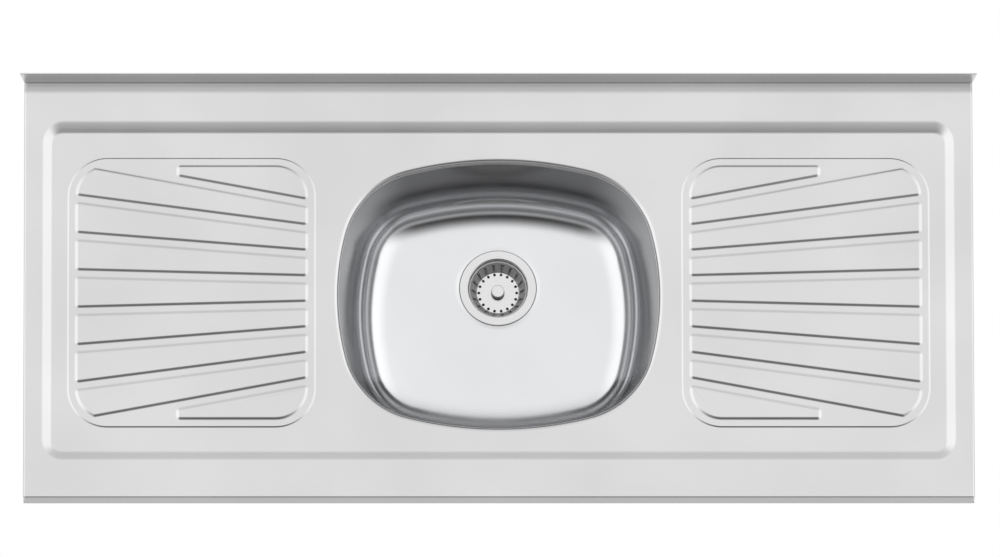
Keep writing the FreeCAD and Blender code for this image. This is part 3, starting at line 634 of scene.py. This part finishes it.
# the pressed sheet seen from above, one unbroken skin
def makeDeck(bm):
    halfY = (deck["depth"] + deck["rearExtra"]) / 2
    middle = deckMiddle + Vector((0, deck["rearExtra"] / 2, 0))
    fold = deck["foldRadius"]
    border = roundedFace(bm, deck["halfLength"], halfY, deck["cornerRadius"], middle, deck["top"] - fold, 6)
    skirtRim, borderRim = pressRing(bm, border, quarterRound(fold, True) + [(deck["borderCalm"], 0)])
    calm = (deck["calm"], 0)
    foot = bmesh.ops.extrude_edge_only(bm, edges=skirtRim)["geom"]
    low = [g for g in foot if isinstance(g, bmesh.types.BMVert)]
    bmesh.ops.translate(bm, verts=low, vec=(0, 0, fold - deck["top"]))
    earlier = set(bm.verts)
    slope = roundedFace(bm, deck["halfLength"] - recess["sideMargin"] + deck["calm"],
                        deck["depth"] / 2 - recess["endMargin"] + deck["calm"],
                        recess["corner"] + deck["calm"], fieldMiddle, deck["top"], 16)
    steps = [calm] + pressedSlope(recess["slope"], -recess["depth"], 12) + [calm]
    slopeRim, fieldRim = pressRing(bm, slope, steps)
    spreadRearSlope([v for v in bm.verts if v not in earlier])
    fillFlat(bm, borderRim + slopeRim)
    rim = bowlFace(bm, bowlShape["rim"] + deck["calm"], fieldLevel)
    drop = bowlShape["collar"] - bowlShape["rim"]
    rimEdge = pressRing(bm, rim, [calm] + quarterRound(bowlShape["rim"], False, 9) + [(0, -drop)])[0]
    footRims = [e for side in (-1, 1) for e in pressDrainer(bm, side)]
    fillFlat(bm, fieldRim + rimEdge + footRims)


upstand = {
    "height": 0.032,
    "lean": 0.003,
    "flare": 0.005,
    "cove": 0.0012,
    "tread": 0.0042,         # how far the foot reaches over the border
    "sink": 0.0002,          # how far the foot lies under the deck's skin
    "hemRound": 0.0009,
}


# the double-walled upstand with its hem and its rounded foot, and the skirt's return flange
def makeUpstand(bm):
    rear = deckMiddle.y + deck["depth"] / 2 + deck["rearExtra"]
    front = deckMiddle.y + deck["depth"] / 2
    top, foot = deck["top"] + upstand["height"], deck["top"] - deck["foldRadius"]
    tread, seat = front - upstand["tread"], deck["top"] - upstand["sink"]
    outline = [(rear, foot), (rear, top), (front + upstand["lean"], top),
               (front, seat), (tread, seat), (tread, foot)]
    left = -deck["halfLength"]
    verts = [bm.verts.new((left, y, z)) for y, z in outline]
    bm.faces.new(verts)
    for picked, radius in ((verts[1:3], upstand["hemRound"]), (verts[3:4], upstand["cove"])):
        bmesh.ops.bevel(bm, geom=picked, offset=radius, offset_type="OFFSET", segments=6,
                        profile=0.5, affect="VERTICES", material=-1)
    end = [f for f in bm.faces if all(abs(v.co.x - left) < touch for v in f.verts)][0]
    whole = bmesh.ops.extrude_face_region(bm, geom=[end])["geom"]
    moved = [g for g in whole if isinstance(g, bmesh.types.BMVert)]
    bmesh.ops.translate(bm, verts=moved, vec=(2 * deck["halfLength"], 0, 0))
    for v in bm.verts:
        way = 1 if v.co.x > 0 else -1
        above = max(0, v.co.z - deck["top"]) / upstand["height"]
        if v.co.y < front - touch:     # the tread under the border keeps clear of the fold
            v.co.x = way * (deck["halfLength"] - deck["foldRadius"])
        else:
            v.co.x += way * upstand["flare"] * above
    bmesh.ops.recalc_face_normals(bm, faces=bm.faces[:])


# the return flange at the foot of the skirt, a flat frame of sheet
def makeFlange(bm):
    halfX, gauge = deck["halfLength"] - deck["gauge"] / 2, deck["gauge"]
    halfY = (deck["depth"] + deck["rearExtra"] - gauge) / 2
    verts = bmesh.ops.create_grid(bm, x_segments=1, y_segments=1, size=1)["verts"]
    bmesh.ops.scale(bm, verts=verts, vec=(halfX, halfY, 1))
    bmesh.ops.translate(bm, verts=verts, vec=(0, deckMiddle.y + deck["rearExtra"] / 2, 0))
    face = verts[0].link_faces[0]
    pressRing(bm, face, [(deck["flangeWidth"] - gauge / 2, 0)])
    raised = bmesh.ops.extrude_face_region(bm, geom=bm.faces[:])["geom"]
    bmesh.ops.translate(bm, verts=[g for g in raised if isinstance(g, bmesh.types.BMVert)], vec=(0, 0, gauge))
    bmesh.ops.recalc_face_normals(bm, faces=bm.faces[:])


# make several closed shells apart from each other, then put them in one bmesh
def gather(makers, gauges):
    whole = bmesh.new()
    for make, gauge in zip(makers, gauges):
        part = bmesh.new()
        make(part)
        if gauge:
            thicken(part, gauge)
        mesh = bpy.data.meshes.new("part")
        part.to_mesh(mesh)
        part.free()
        whole.from_mesh(mesh)
        bpy.data.meshes.remove(mesh)
    return whole


worktop = finishPiece("worktop_sheet", gather((makeDeck, makeUpstand, makeFlange), (deck["gauge"], 0, 0)),
                      "root", deckSteel, ["worktop"])
print("worktop:", len(worktop.data.polygons), "faces")


# bowl

# the wall's draft and the round to the floor, as widths inwards and drops
def bowlWallSteps():
    b = bowlShape
    depth = weldLevel - floorLevel
    slope = math.atan2(b["draft"], depth)
    tangent = b["floorRound"] * math.tan((math.pi / 2 - slope) / 2)
    wallEnd = (b["draft"] - tangent * math.sin(slope), tangent * math.cos(slope) - depth)
    points = [(wallEnd[0] * i / 8, wallEnd[1] * i / 8) for i in range(9)]
    centre = (b["draft"] + tangent, b["floorRound"] - depth)
    for i in range(1, 25):
        turn = slope + (math.pi / 2 - slope) * i / 24
        points.append((centre[0] - b["floorRound"] * math.cos(turn),
                       centre[1] - b["floorRound"] * math.sin(turn)))
    return [(far[0] - near[0], far[1] - near[1]) for near, far in zip(points, points[1:])]


# the bowl's wall and floor, with the dish and hole for the waste
def makeBowl(bm):
    b = bowlShape
    calm = (b["floorCalm"], 0)
    floorRim = pressRing(bm, bowlFace(bm, 0, weldLevel), bowlWallSteps() + [calm])[1]
    middle = fieldMiddle.y - b["shift"]
    for v in bm.verts:
        stretch = b["floorStretch"] * (weldLevel - v.co.z) / (weldLevel - floorLevel)
        v.co.y = middle + (v.co.y - middle) * (1 + stretch)
    before = set(bm.faces)
    reach = b["dishRadius"] + b["floorCalm"]
    verts = bmesh.ops.create_circle(bm, cap_ends=True, segments=96, radius=reach)["verts"]
    bmesh.ops.translate(bm, verts=verts, vec=(0, drainAxis.y, floorLevel))
    dish = [f for f in bm.faces if f not in before][0]
    flat = b["dishRadius"] - b["dishSlope"] - b["holeRadius"]
    steps = [calm] + pressedSlope(b["dishSlope"], -b["dishDepth"], 6) + [calm, (flat - b["floorCalm"], 0)]
    dishRim = pressRing(bm, dish, steps)[0]
    fillFlat(bm, floorRim + dishRim)


bowl = finishPiece("bowl_pressing", gather((makeBowl,), (deck["gauge"],)),
                   "root", bowlSteel, ["bowl"])
print("bowl:", len(bowl.data.polygons), "faces")


# what all the small pieces share: turned rings and bars

# turn a closed half section, (radius, height) corners, around the drain's axis, with soft corners
def turnRing(bm, corners, soft=0.0, steps=96):
    before = set(bm.faces)
    verts = [bm.verts.new((radius, drainAxis.y, height)) for radius, height in corners]
    bm.faces.new(verts)
    if soft:
        bmesh.ops.bevel(bm, geom=[v for v in verts if v.co.x > touch], offset=soft, offset_type="OFFSET",
                        segments=3, profile=0.5, affect="VERTICES", clamp_overlap=True, material=-1)
    section = [f for f in bm.faces if f not in before][0]
    edges = [e for e in section.edges if max(v.co.x for v in e.verts) > touch]
    bmesh.ops.delete(bm, geom=[section], context="FACES_ONLY")
    alone = [e for e in bm.edges if e.is_wire and e not in edges]
    bmesh.ops.delete(bm, geom=alone, context="EDGES")
    points = list(dict.fromkeys(v for e in edges for v in e.verts))
    bmesh.ops.spin(bm, geom=edges + points, cent=drainAxis, axis=(0, 0, 1), angle=2 * math.pi,
                   steps=steps, use_merge=True)
    made = [f for f in bm.faces if f not in before]
    bmesh.ops.remove_doubles(bm, verts=list(dict.fromkeys(v for f in made for v in f.verts)), dist=touch)
    bmesh.ops.recalc_face_normals(bm, faces=[f for f in bm.faces if f not in before])


# a bar between two corners with soft edges, turned around the drain's axis
def addBar(bm, low, high, soft, turn=0.0):
    before = set(bm.verts)
    low, high = Vector(low), Vector(high)
    verts = bmesh.ops.create_cube(bm, size=1)["verts"]
    bmesh.ops.scale(bm, verts=verts, vec=high - low)
    bmesh.ops.translate(bm, verts=verts, vec=(low + high) / 2)
    edges = list(dict.fromkeys(e for v in verts for e in v.link_edges))
    bmesh.ops.bevel(bm, geom=edges, offset=soft, offset_type="OFFSET", segments=3, profile=0.5,
                    affect="EDGES", clamp_overlap=True, material=-1)
    moved = [v for v in bm.verts if v not in before]
    bmesh.ops.rotate(bm, verts=moved, cent=drainAxis, matrix=Matrix.Rotation(turn, 3, "Z"))


# an open chain of (radius, height) points with its inner corners rounded
def softChain(points, soft, count=5):
    chain = [Vector(points[0])]
    for before, corner, after in zip(points, points[1:], points[2:]):
        corner = Vector(corner)
        start = corner + (Vector(before) - corner).normalized() * soft
        end = corner + (Vector(after) - corner).normalized() * soft
        for i in range(count + 1):
            along = i / count
            chain.append(start * (1 - along) ** 2 + corner * 2 * along * (1 - along) + end * along ** 2)
    return chain + [Vector(points[-1])]


# the teeth of a round thread in half section, from one height up to another
def grooves(radius, depth, pitch, start, end):
    points = []
    for i in range(int((end - start) / pitch)):
        foot = start + i * pitch     # crest, flank, root and flank as shares of the pitch
        points += [(radius, foot + pitch * 0.15), (radius - depth, foot + pitch * 0.45),
                   (radius - depth, foot + pitch * 0.6), (radius, foot + pitch * 0.9)]
    return points


# strainer body: flange, cup, spigot with its thread, spider that carries the bush

strainer = {
    "flangeLip": 0.0008,
    "flangeLipSoft": 0.00024,
    "flangeFlat": 0.0012,    # from the flange's rim to its flat top
    "flangeEdge": 0.0004,
    "flangeGauge": 0.0012,
    "throat": 0.0375,
    "throatLead": 0.0035,
    "throatLip": 0.0007,
    "throatLipFall": 0.0021,
    "throatLipSoft": 0.00084,
    "wall": 0.0012,
    "wallFoot": 0.006,
    "cupDepth": 0.032,
    "cupRound": 0.003,
    "cupRoundTop": 0.005,
    "cupRoundFoot": 0.004,
    "outletLip": 0.003,
    "outletRound": 0.0012,
    "spigot": 0.023,
    "spigotWall": 0.0016,
    "threadDepth": 0.0006,
    "threadPitch": 0.0025,
    "hub": 0.008,
    "hubBore": 0.00505,
    "hubHeight": 0.008,
    "hubSink": 0.003,
    "spokes": 4,
    "spokeWidth": 0.0035,
    "spokeHeight": 0.003,
    "spokeInHub": 0.001,
    "spokeInWall": 0.0005,
    "edge": 0.0006,
}


# the cup is one turned ring, from the spigot's foot up the outside and down the inside
def makeStrainer(bm):
    s = strainer
    low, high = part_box("strainer_body")
    flange = (high.x - low.x) / 2
    top, floor = high.z, high.z - s["cupDepth"]
    under = floor - s["wall"]
    outer, bore = s["throat"] + s["wall"], s["spigot"] - s["spigotWall"]
    corners = [(bore, low.z), (s["spigot"], low.z)]
    corners += grooves(s["spigot"], s["threadDepth"], s["threadPitch"], low.z, under - s["threadPitch"])
    flangeFoot = top - s["flangeGauge"]
    corners += [(s["spigot"], under), (outer, under), (outer, flangeFoot - s["throatLead"]),
                (outer + s["throatLead"] - s["flangeGauge"], flangeFoot), (flange, flangeFoot)]
    corners += softChain([(flange, flangeFoot + s["flangeEdge"]), (flange - s["flangeLip"], top),
                          (flange - s["flangeFlat"], top)], s["flangeLipSoft"])
    corners += softChain([(s["throat"] + s["throatLead"], top), (s["throat"] + s["throatLip"], top),
                          (s["throat"], top - s["throatLipFall"]), (s["throat"], floor + s["wallFoot"])],
                         s["throatLipSoft"])
    corners += softChain([(s["throat"], floor + s["cupRoundTop"]), (s["throat"], floor),
                          (bore + s["cupRoundFoot"], floor)], s["cupRound"])
    corners += softChain([(bore + s["outletLip"], floor), (bore, floor), (bore, floor - s["outletLip"])],
                         s["outletRound"])
    turnRing(bm, corners, steps=128)
    hubTop = floor - s["hubSink"]
    hubFoot = hubTop - s["hubHeight"]
    turnRing(bm, [(s["hubBore"], hubFoot), (s["hub"], hubFoot), (s["hub"], hubTop), (s["hubBore"], hubTop)],
             s["edge"], 48)
    for i in range(s["spokes"]):
        start = (s["hub"] - s["spokeInHub"], drainAxis.y - s["spokeWidth"] / 2, hubTop - s["spokeHeight"])
        end = (bore + s["spokeInWall"], drainAxis.y + s["spokeWidth"] / 2, hubTop)
        addBar(bm, start, end, s["edge"], 2 * math.pi * i / s["spokes"])


# lift-out basket: floor with a ring of holes, slotted wall, rolled lip

basket = {
    "floor": 0.0275,
    "top": 0.036,
    "rim": 0.0367,
    "height": 0.020,
    "gauge": 0.0008,
    "holeRing": 0.0241,
    "hole": 0.0018,
    "holeStretch": 1.1,
    "count": 18,
    "slotStart": 0.0280,
    "slotEnd": 0.0335,
    "columns": 7,            # faces from one slot to the next, two of them left open
    "stemHole": 0.003,
    "heel": 0.0004,
    "heelSoft": 0.00036,
    "lip": 0.0006,
}


# the wall is spun and its slots are taken out, then the floor is filled in around its holes
def makeBasket(bm):
    b = basket
    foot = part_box("basket_cup")[0].z
    level, top = foot + b["gauge"], foot + b["height"]
    floorEdge = b["floor"] - b["gauge"]
    slope = (b["height"] - b["gauge"]) / (b["top"] - b["floor"])
    slotLength = b["slotEnd"] - b["slotStart"]

    def onWall(radius):
        return Vector((radius, level + (radius - floorEdge) * slope))

    chain = softChain([(floorEdge - b["heel"], level), (floorEdge, level), onWall(b["slotStart"])],
                      b["heelSoft"], 4)
    chain += [onWall(b["slotStart"] + slotLength * i / 3) for i in (1, 2)]
    chain += softChain([onWall(b["slotEnd"]), (b["top"] - b["gauge"], top), (b["rim"], top)], b["lip"], 4)
    verts = [bm.verts.new((radius, drainAxis.y, height)) for radius, height in chain]
    edges = [bm.edges.new(pair) for pair in zip(verts, verts[1:])]
    columns = b["count"] * b["columns"]
    oneColumn = Matrix.Rotation(-2 * math.pi / columns, 3, "Z")
    bmesh.ops.rotate(bm, verts=verts, cent=drainAxis, matrix=oneColumn)
    bmesh.ops.spin(bm, geom=verts + edges, cent=drainAxis, axis=(0, 0, 1), angle=2 * math.pi, steps=columns,
                   use_merge=True)
    slotFoot, slotTop = onWall(b["slotStart"]).y, onWall(b["slotEnd"]).y
    slots = []
    for f in bm.faces:
        middle = f.calc_center_median() - drainAxis
        fromSlot = (math.atan2(middle.y, middle.x) / (2 * math.pi) * b["count"] + 0.5) % 1 - 0.5
        if abs(fromSlot) < 1 / b["columns"] and slotFoot < middle.z < slotTop:
            slots.append(f)
    bmesh.ops.delete(bm, geom=slots, context="FACES")
    rims = [e for e in bm.edges if e.is_boundary and max(v.co.z for v in e.verts) < level + touch]
    places = [(0, 0, b["stemHole"], 24)]
    places += [(b["holeRing"], 2 * math.pi * i / b["count"], b["hole"], 16) for i in range(b["count"])]
    for reach, turn, radius, segments in places:
        made = bmesh.ops.create_circle(bm, cap_ends=False, segments=segments, radius=radius)["verts"]
        if reach:
            bmesh.ops.scale(bm, verts=made, vec=(b["holeStretch"], 1, 1))
        bmesh.ops.translate(bm, verts=made, vec=(reach, drainAxis.y, level))
        bmesh.ops.rotate(bm, verts=made, cent=drainAxis, matrix=Matrix.Rotation(turn, 3, "Z"))
        rims += list(dict.fromkeys(e for v in made for e in v.link_edges))
    fillFlat(bm, rims)
    thicken(bm, b["gauge"])


# knob: a low crowned cap over a tapered grip on a neck

knob = {
    "brim": 0.0085,
    "cap": 0.0078,
    "capEdge": 0.0006,
    "height": 0.011,
    "crown": 0.0004,
    "neck": 0.0045,
    "neckHeight": 0.004,
    "stem": 0.003,
    "socket": 0.005,
}


def makeKnob(bm):
    k = knob
    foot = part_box("basket_knob")[0].z
    top = foot + k["height"]
    corners = [(0, foot + k["socket"]), (k["stem"], foot + k["socket"]), (k["stem"], foot), (k["neck"], foot)]
    corners += softChain([(k["neck"], foot + k["neckHeight"]), (k["brim"], foot + k["neckHeight"]),
                          (k["cap"], top - k["crown"]), (k["cap"] / 2, top - k["crown"] / 4), (0, top)],
                         k["capEdge"])
    turnRing(bm, corners, steps=64)


# plug, stem, clip and bush below the basket

plug = {"bore": 0.003, "footTaper": 0.002, "topTaper": 0.001, "edge": 0.0006}


def makePlug(bm):
    low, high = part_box("basket_seal")
    outer = (high.x - low.x) / 2
    turnRing(bm, [(plug["bore"], low.z), (outer - plug["footTaper"], low.z), (outer, (low.z + high.z) / 2),
                  (outer - plug["topTaper"], high.z), (plug["bore"], high.z)], plug["edge"])


stem = {"edge": 0.0005}


def makeStem(bm):
    low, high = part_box("basket_stem")
    outer = (high.x - low.x) / 2
    turnRing(bm, [(0, low.z), (outer, low.z), (outer, high.z), (0, high.z)], stem["edge"], 32)


clip = {"bore": 0.003, "edge": 0.0002}


def makeClip(bm):
    low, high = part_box("stem_clip")
    outer = (high.x - low.x) / 2
    turnRing(bm, [(clip["bore"], low.z), (outer, low.z), (outer, high.z), (clip["bore"], high.z)],
             clip["edge"], 40)


bush = {
    "bore": 0.00305,
    "lip": 0.0055,
    "lipGauge": 0.001,
    "shank": 0.005,
    "flangeGauge": 0.0015,
    "edge": 0.0003,
}


def makeBush(bm):
    low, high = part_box("stem_bush")
    outer = (high.x - low.x) / 2
    b = bush
    turnRing(bm, [(b["bore"], low.z), (b["lip"], low.z), (b["lip"], low.z + b["lipGauge"]),
                  (b["shank"], low.z + b["lipGauge"]), (b["shank"], high.z - b["flangeGauge"]),
                  (outer, high.z - b["flangeGauge"]), (outer, high.z), (b["bore"], high.z)], b["edge"], 48)


# nuts and tail

lockNut = {"bore": 0.0389, "wall": 0.007, "lugs": 6, "lugWidth": 0.014, "edge": 0.0009}


def makeLockNut(bm):
    n = lockNut
    low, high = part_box("lock_nut")
    outer, reach = n["bore"] + n["wall"], (high.x - low.x) / 2
    turnRing(bm, [(n["bore"], low.z), (outer, low.z), (outer, high.z), (n["bore"], high.z)], n["edge"])
    for i in range(n["lugs"]):
        start = (n["bore"] + n["wall"] / 2, drainAxis.y - n["lugWidth"] / 2, low.z)
        end = (reach, drainAxis.y + n["lugWidth"] / 2, high.z)
        addBar(bm, start, end, n["edge"] * 2, 2 * math.pi * i / n["lugs"])


coupling = {
    "bore": 0.0232,
    "wall": 0.004,
    "lip": 0.0025,           # turned in over the washer
    "lipBore": 0.0204,
    "ribs": 10,
    "ribWidth": 0.005,
    "edge": 0.0007,
}


def makeCoupling(bm):
    c = coupling
    low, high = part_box("coupling_nut")
    outer, reach = c["bore"] + c["wall"], (high.x - low.x) / 2
    turnRing(bm, [(c["lipBore"], low.z), (outer, low.z), (outer, high.z), (c["bore"], high.z),
                  (c["bore"], low.z + c["lip"]), (c["lipBore"], low.z + c["lip"])], c["edge"])
    for i in range(c["ribs"]):
        start = (c["bore"] + c["wall"] / 2, drainAxis.y - c["ribWidth"] / 2, low.z + c["edge"])
        end = (reach, drainAxis.y + c["ribWidth"] / 2, high.z - c["edge"])
        addBar(bm, start, end, c["edge"], 2 * math.pi * i / c["ribs"])


tail = {
    "radius": 0.020,
    "wall": 0.0015,
    "flange": 0.0015,
    "markPlace": 0.005,      # a shallow ring shows how far the trap goes on
    "markWidth": 0.001,
    "markDepth": 0.0003,
    "edge": 0.0002,
}


def makeTail(bm):
    t = tail
    low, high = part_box("tailpiece")
    bore, flange = t["radius"] - t["wall"], (high.x - low.x) / 2
    markTop = high.z - t["markPlace"]
    markFoot, dent = markTop - t["markWidth"], t["radius"] - t["markDepth"]
    turnRing(bm, [(bore, low.z), (t["radius"], low.z), (t["radius"], markFoot), (dent, markFoot),
                  (dent, markTop), (t["radius"], markTop), (t["radius"], high.z - t["flange"]),
                  (flange, high.z - t["flange"]), (flange, high.z), (bore, high.z)], t["edge"])


flangeSeal = {"bore": 0.043, "foot": 0.0444, "rise": 0.0011, "edge": 0.0002}


def makeFlangeSeal(bm):
    low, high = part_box("flange_seal")
    outer = (high.x - low.x) / 2
    turnRing(bm, [(flangeSeal["bore"], low.z), (flangeSeal["foot"], low.z),
                  (outer, low.z + flangeSeal["rise"]), (outer, high.z), (flangeSeal["bore"], high.z)],
             flangeSeal["edge"])


underGasket = {"bore": 0.043, "edge": 0.0006}
frictionRing = {"bore": 0.0389, "edge": 0.0003}
tailWasher = {"bore": 0.0185, "edge": 0.0003}


# a plain ring as high and wide as its node
def makeRing(name, ring):
    def make(bm):
        low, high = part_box(name)
        outer = (high.x - low.x) / 2
        turnRing(bm, [(ring["bore"], low.z), (outer, low.z), (outer, high.z), (ring["bore"], high.z)],
                 ring["edge"])
    return make


# boards, rails and damping pad

timber = {"edge": 0.0006}


def makeBoard(name):
    def make(bm):
        low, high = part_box(name)
        addBar(bm, low, high, timber["edge"])
    return make


pad = {"corner": 0.012, "edge": 0.0006}


def makePad(bm):
    low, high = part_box("sound_pad")
    middle = (low + high) / 2
    face = roundedFace(bm, (high.x - low.x) / 2, (high.y - low.y) / 2, pad["corner"], middle, low.z, 8)
    raised = bmesh.ops.extrude_face_region(bm, geom=[face])["geom"]
    upper = [g for g in raised if isinstance(g, bmesh.types.BMVert)]
    bmesh.ops.translate(bm, verts=upper, vec=(0, 0, high.z - low.z))
    bmesh.ops.recalc_face_normals(bm, faces=bm.faces[:])
    rims = [e for e in bm.edges if abs(e.verts[0].co.z - e.verts[1].co.z) < touch]
    bmesh.ops.bevel(bm, geom=rims, offset=pad["edge"], offset_type="OFFSET", segments=3, profile=0.5,
                    affect="EDGES", clamp_overlap=True, material=-1)


# build one small piece in the place of its node
def dress(name, make, body, material, sharpAngle=40):
    bm = bmesh.new()
    make(bm)
    finishPiece(name + "_dressed", bm, body, material, [name], sharpAngle)


dress("strainer_body", makeStrainer, "root", strainerSteel)
dress("flange_seal", makeFlangeSeal, "root", sealRubber)
dress("under_gasket", makeRing("under_gasket", underGasket), "root", sealRubber)
dress("friction_ring", makeRing("friction_ring", frictionRing), "root", whitePlastic)
dress("lock_nut", makeLockNut, "root", whitePlastic)
dress("tail_washer", makeRing("tail_washer", tailWasher), "root", sealRubber)
dress("tailpiece", makeTail, "root", whitePlastic)
dress("coupling_nut", makeCoupling, "root", whitePlastic)
print("waste ready")

dress("stem_bush", makeBush, "stem_bush", nylonPlastic)
dress("basket_cup", makeBasket, "basket", basketSteel, 50)
dress("basket_knob", makeKnob, "basket", knobSteel, 60)
dress("basket_seal", makePlug, "basket", sealRubber)
dress("basket_stem", makeStem, "basket", polishedSteel)
dress("stem_clip", makeClip, "basket", polishedSteel)
print("basket ready")

for name in ("board_left", "board_right", "rail_front", "rail_rear"):
    dress(name, makeBoard(name), "root", particleBoard)
dress("sound_pad", makePad, "root", dampingRubber)
print("boards and pad ready")


# studio: world, floor, overhead dome that only reflections and soft light see, camera

# 1 for camera, glossy and transmission rays, else 0
def whiteWhereSeen(nodes, links):
    path = nodes.new("ShaderNodeLightPath")
    total = path.outputs["Is Camera Ray"]
    for name in ("Is Glossy Ray", "Is Transmission Ray"):
        total = arithmetic(nodes, links, "MAXIMUM", total, path.outputs[name])
    return total


# a new mesh object of the studio with an empty material
def studioObject(name, bm, surface):
    mesh = bpy.data.meshes.new(name)
    bm.to_mesh(mesh)
    bm.free()
    thing = bpy.data.objects.new(name, mesh)
    bpy.context.scene.collection.objects.link(thing)
    material = bpy.data.materials.new(surface)
    material.use_nodes = True
    material.node_tree.nodes.clear()
    mesh.materials.append(material)
    return thing, material.node_tree.nodes, material.node_tree.links


room = {"shade": 0.6, "seen": 1.0}     # strength of the white room as light and where it is seen


def studioWorld():
    world = bpy.data.worlds.new("white room")
    bpy.context.scene.world = world
    world.use_nodes = True
    nodes, links = world.node_tree.nodes, world.node_tree.links
    nodes.clear()
    background = nodes.new("ShaderNodeBackground")
    strength = nodes.new("ShaderNodeMapRange")
    strength.inputs["To Min"].default_value = room["shade"]
    strength.inputs["To Max"].default_value = room["seen"]
    links.new(whiteWhereSeen(nodes, links), strength.inputs["Value"])
    links.new(strength.outputs["Result"], background.inputs["Strength"])
    links.new(background.outputs["Background"], nodes.new("ShaderNodeOutputWorld").inputs["Surface"])


ground = {"radius": 120.0, "gap": 0.001, "chalk": (0.8, 0.8, 0.8)}


def studioFloor():
    bm = bmesh.new()
    bmesh.ops.create_circle(bm, cap_ends=True, segments=64, radius=ground["radius"])
    low = min(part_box(n)[0].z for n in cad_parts)
    bmesh.ops.translate(bm, verts=bm.verts[:], vec=(0, deckMiddle.y, low - ground["gap"]))
    floor, nodes, links = studioObject("floor", bm, "white floor")
    seen = whiteWhereSeen(nodes, links)
    mix = nodes.new("ShaderNodeMixShader")
    chalk = nodes.new("ShaderNodeBsdfDiffuse")
    chalk.inputs["Color"].default_value = (*ground["chalk"], 1)
    glow = nodes.new("ShaderNodeEmission")
    links.new(seen, mix.inputs["Fac"])
    links.new(chalk.outputs["BSDF"], mix.inputs[1])
    links.new(glow.outputs["Emission"], mix.inputs[2])
    links.new(mix.outputs["Shader"], nodes.new("ShaderNodeOutputMaterial").inputs["Surface"])


dome = {
    "radius": 7.0,
    "foot": -0.2,
    "topLight": 1.12,
    "sideLight": 0.30,
    "sideFade": (0.35, 0.85),    # fades are shares of the radius
    "frontDark": 0.03,
    "frontFade": (0.28, 0.85),
    "frontLow": 0.42,            # near the horizon the front is light again
    "lowFade": (0.40, 0.56),
    "rearDark": 0.80,
    "rearFade": (0.50, 1.00),
}


# a hemisphere of soft light: even overhead, brighter at both sides, dark in front between top and horizon
def studioDome():
    d = dome
    bm = bmesh.new()
    bmesh.ops.create_icosphere(bm, subdivisions=5, radius=d["radius"])
    bmesh.ops.bisect_plane(bm, geom=bm.faces[:] + bm.edges[:] + bm.verts[:], plane_co=(0, 0, d["foot"]),
                           plane_no=(0, 0, 1), clear_inner=True)
    shell, nodes, links = studioObject("dome", bm, "dome light")
    shell.data.shade_smooth()
    shell.location = deckMiddle
    parts = placeParts(nodes, links)

    def fade(source, ends, low, high):
        return smoothRange(nodes, links, source, ends[0] * d["radius"], ends[1] * d["radius"], low, high)

    def combine(kind, first, second):
        return arithmetic(nodes, links, kind, first, second)

    front = combine("MULTIPLY", parts["Y"], -1.0)
    side = combine("ABSOLUTE", parts["X"], 0.0)
    notFront = combine("MAXIMUM", fade(front, d["frontFade"], 1.0, d["frontDark"]),
                       fade(parts["Z"], d["lowFade"], d["frontLow"], 0.0))
    notRear = fade(parts["Y"], d["rearFade"], 1.0, d["rearDark"])
    sideLift = fade(side, d["sideFade"], 0.0, d["sideLight"])
    shade = combine("MULTIPLY", notFront, notRear)
    light = combine("MULTIPLY", combine("ADD", sideLift, d["topLight"]), shade)
    glow = nodes.new("ShaderNodeEmission")
    links.new(light, glow.inputs["Strength"])
    links.new(glow.outputs["Emission"], nodes.new("ShaderNodeOutputMaterial").inputs["Surface"])
    shell.visible_camera = False
    shell.visible_shadow = False


camera = {
    "elevation": 76.0,
    "turn": -1.5,                # a little from the left
    "distance": 28.0,
    "sensor": 36.0,
    "farEnd": 200,
    "pixelSize": 1.2632e-3,      # a photograph pixel on the deck
    "imageWidth": 1000,
    "deckMiddlePixel": (498.7, 289.9),
    "imageMiddlePixel": (500.0, 278.5),
}


def studioCamera():
    c = camera
    data = bpy.data.cameras.new("camera")
    view = bpy.data.objects.new("camera", data)
    bpy.context.scene.collection.objects.link(view)
    bpy.context.scene.camera = view
    tilt, turn = math.radians(c["elevation"]), math.radians(c["turn"])
    back = Vector((math.sin(turn) * math.cos(tilt), -math.cos(turn) * math.cos(tilt), math.sin(tilt)))
    along = (Vector((1, 0, 0)) - back * back.x).normalized()     # the deck's long edges stay level
    up = back.cross(along)
    rightward = (c["imageMiddlePixel"][0] - c["deckMiddlePixel"][0]) * c["pixelSize"]
    upward = (c["deckMiddlePixel"][1] - c["imageMiddlePixel"][1]) * c["pixelSize"]
    target = deckMiddle + Vector((0, 0, deck["top"])) + along * rightward + up * upward
    place = Matrix((along, up, back)).transposed().to_4x4()
    place.translation = target + back * c["distance"]
    view.matrix_world = place
    data.sensor_width = c["sensor"]
    data.lens = c["sensor"] * c["distance"] / (c["pixelSize"] * c["imageWidth"])
    data.clip_end = c["farEnd"]


studioWorld()
studioFloor()
studioDome()
studioCamera()
print("studio ready")
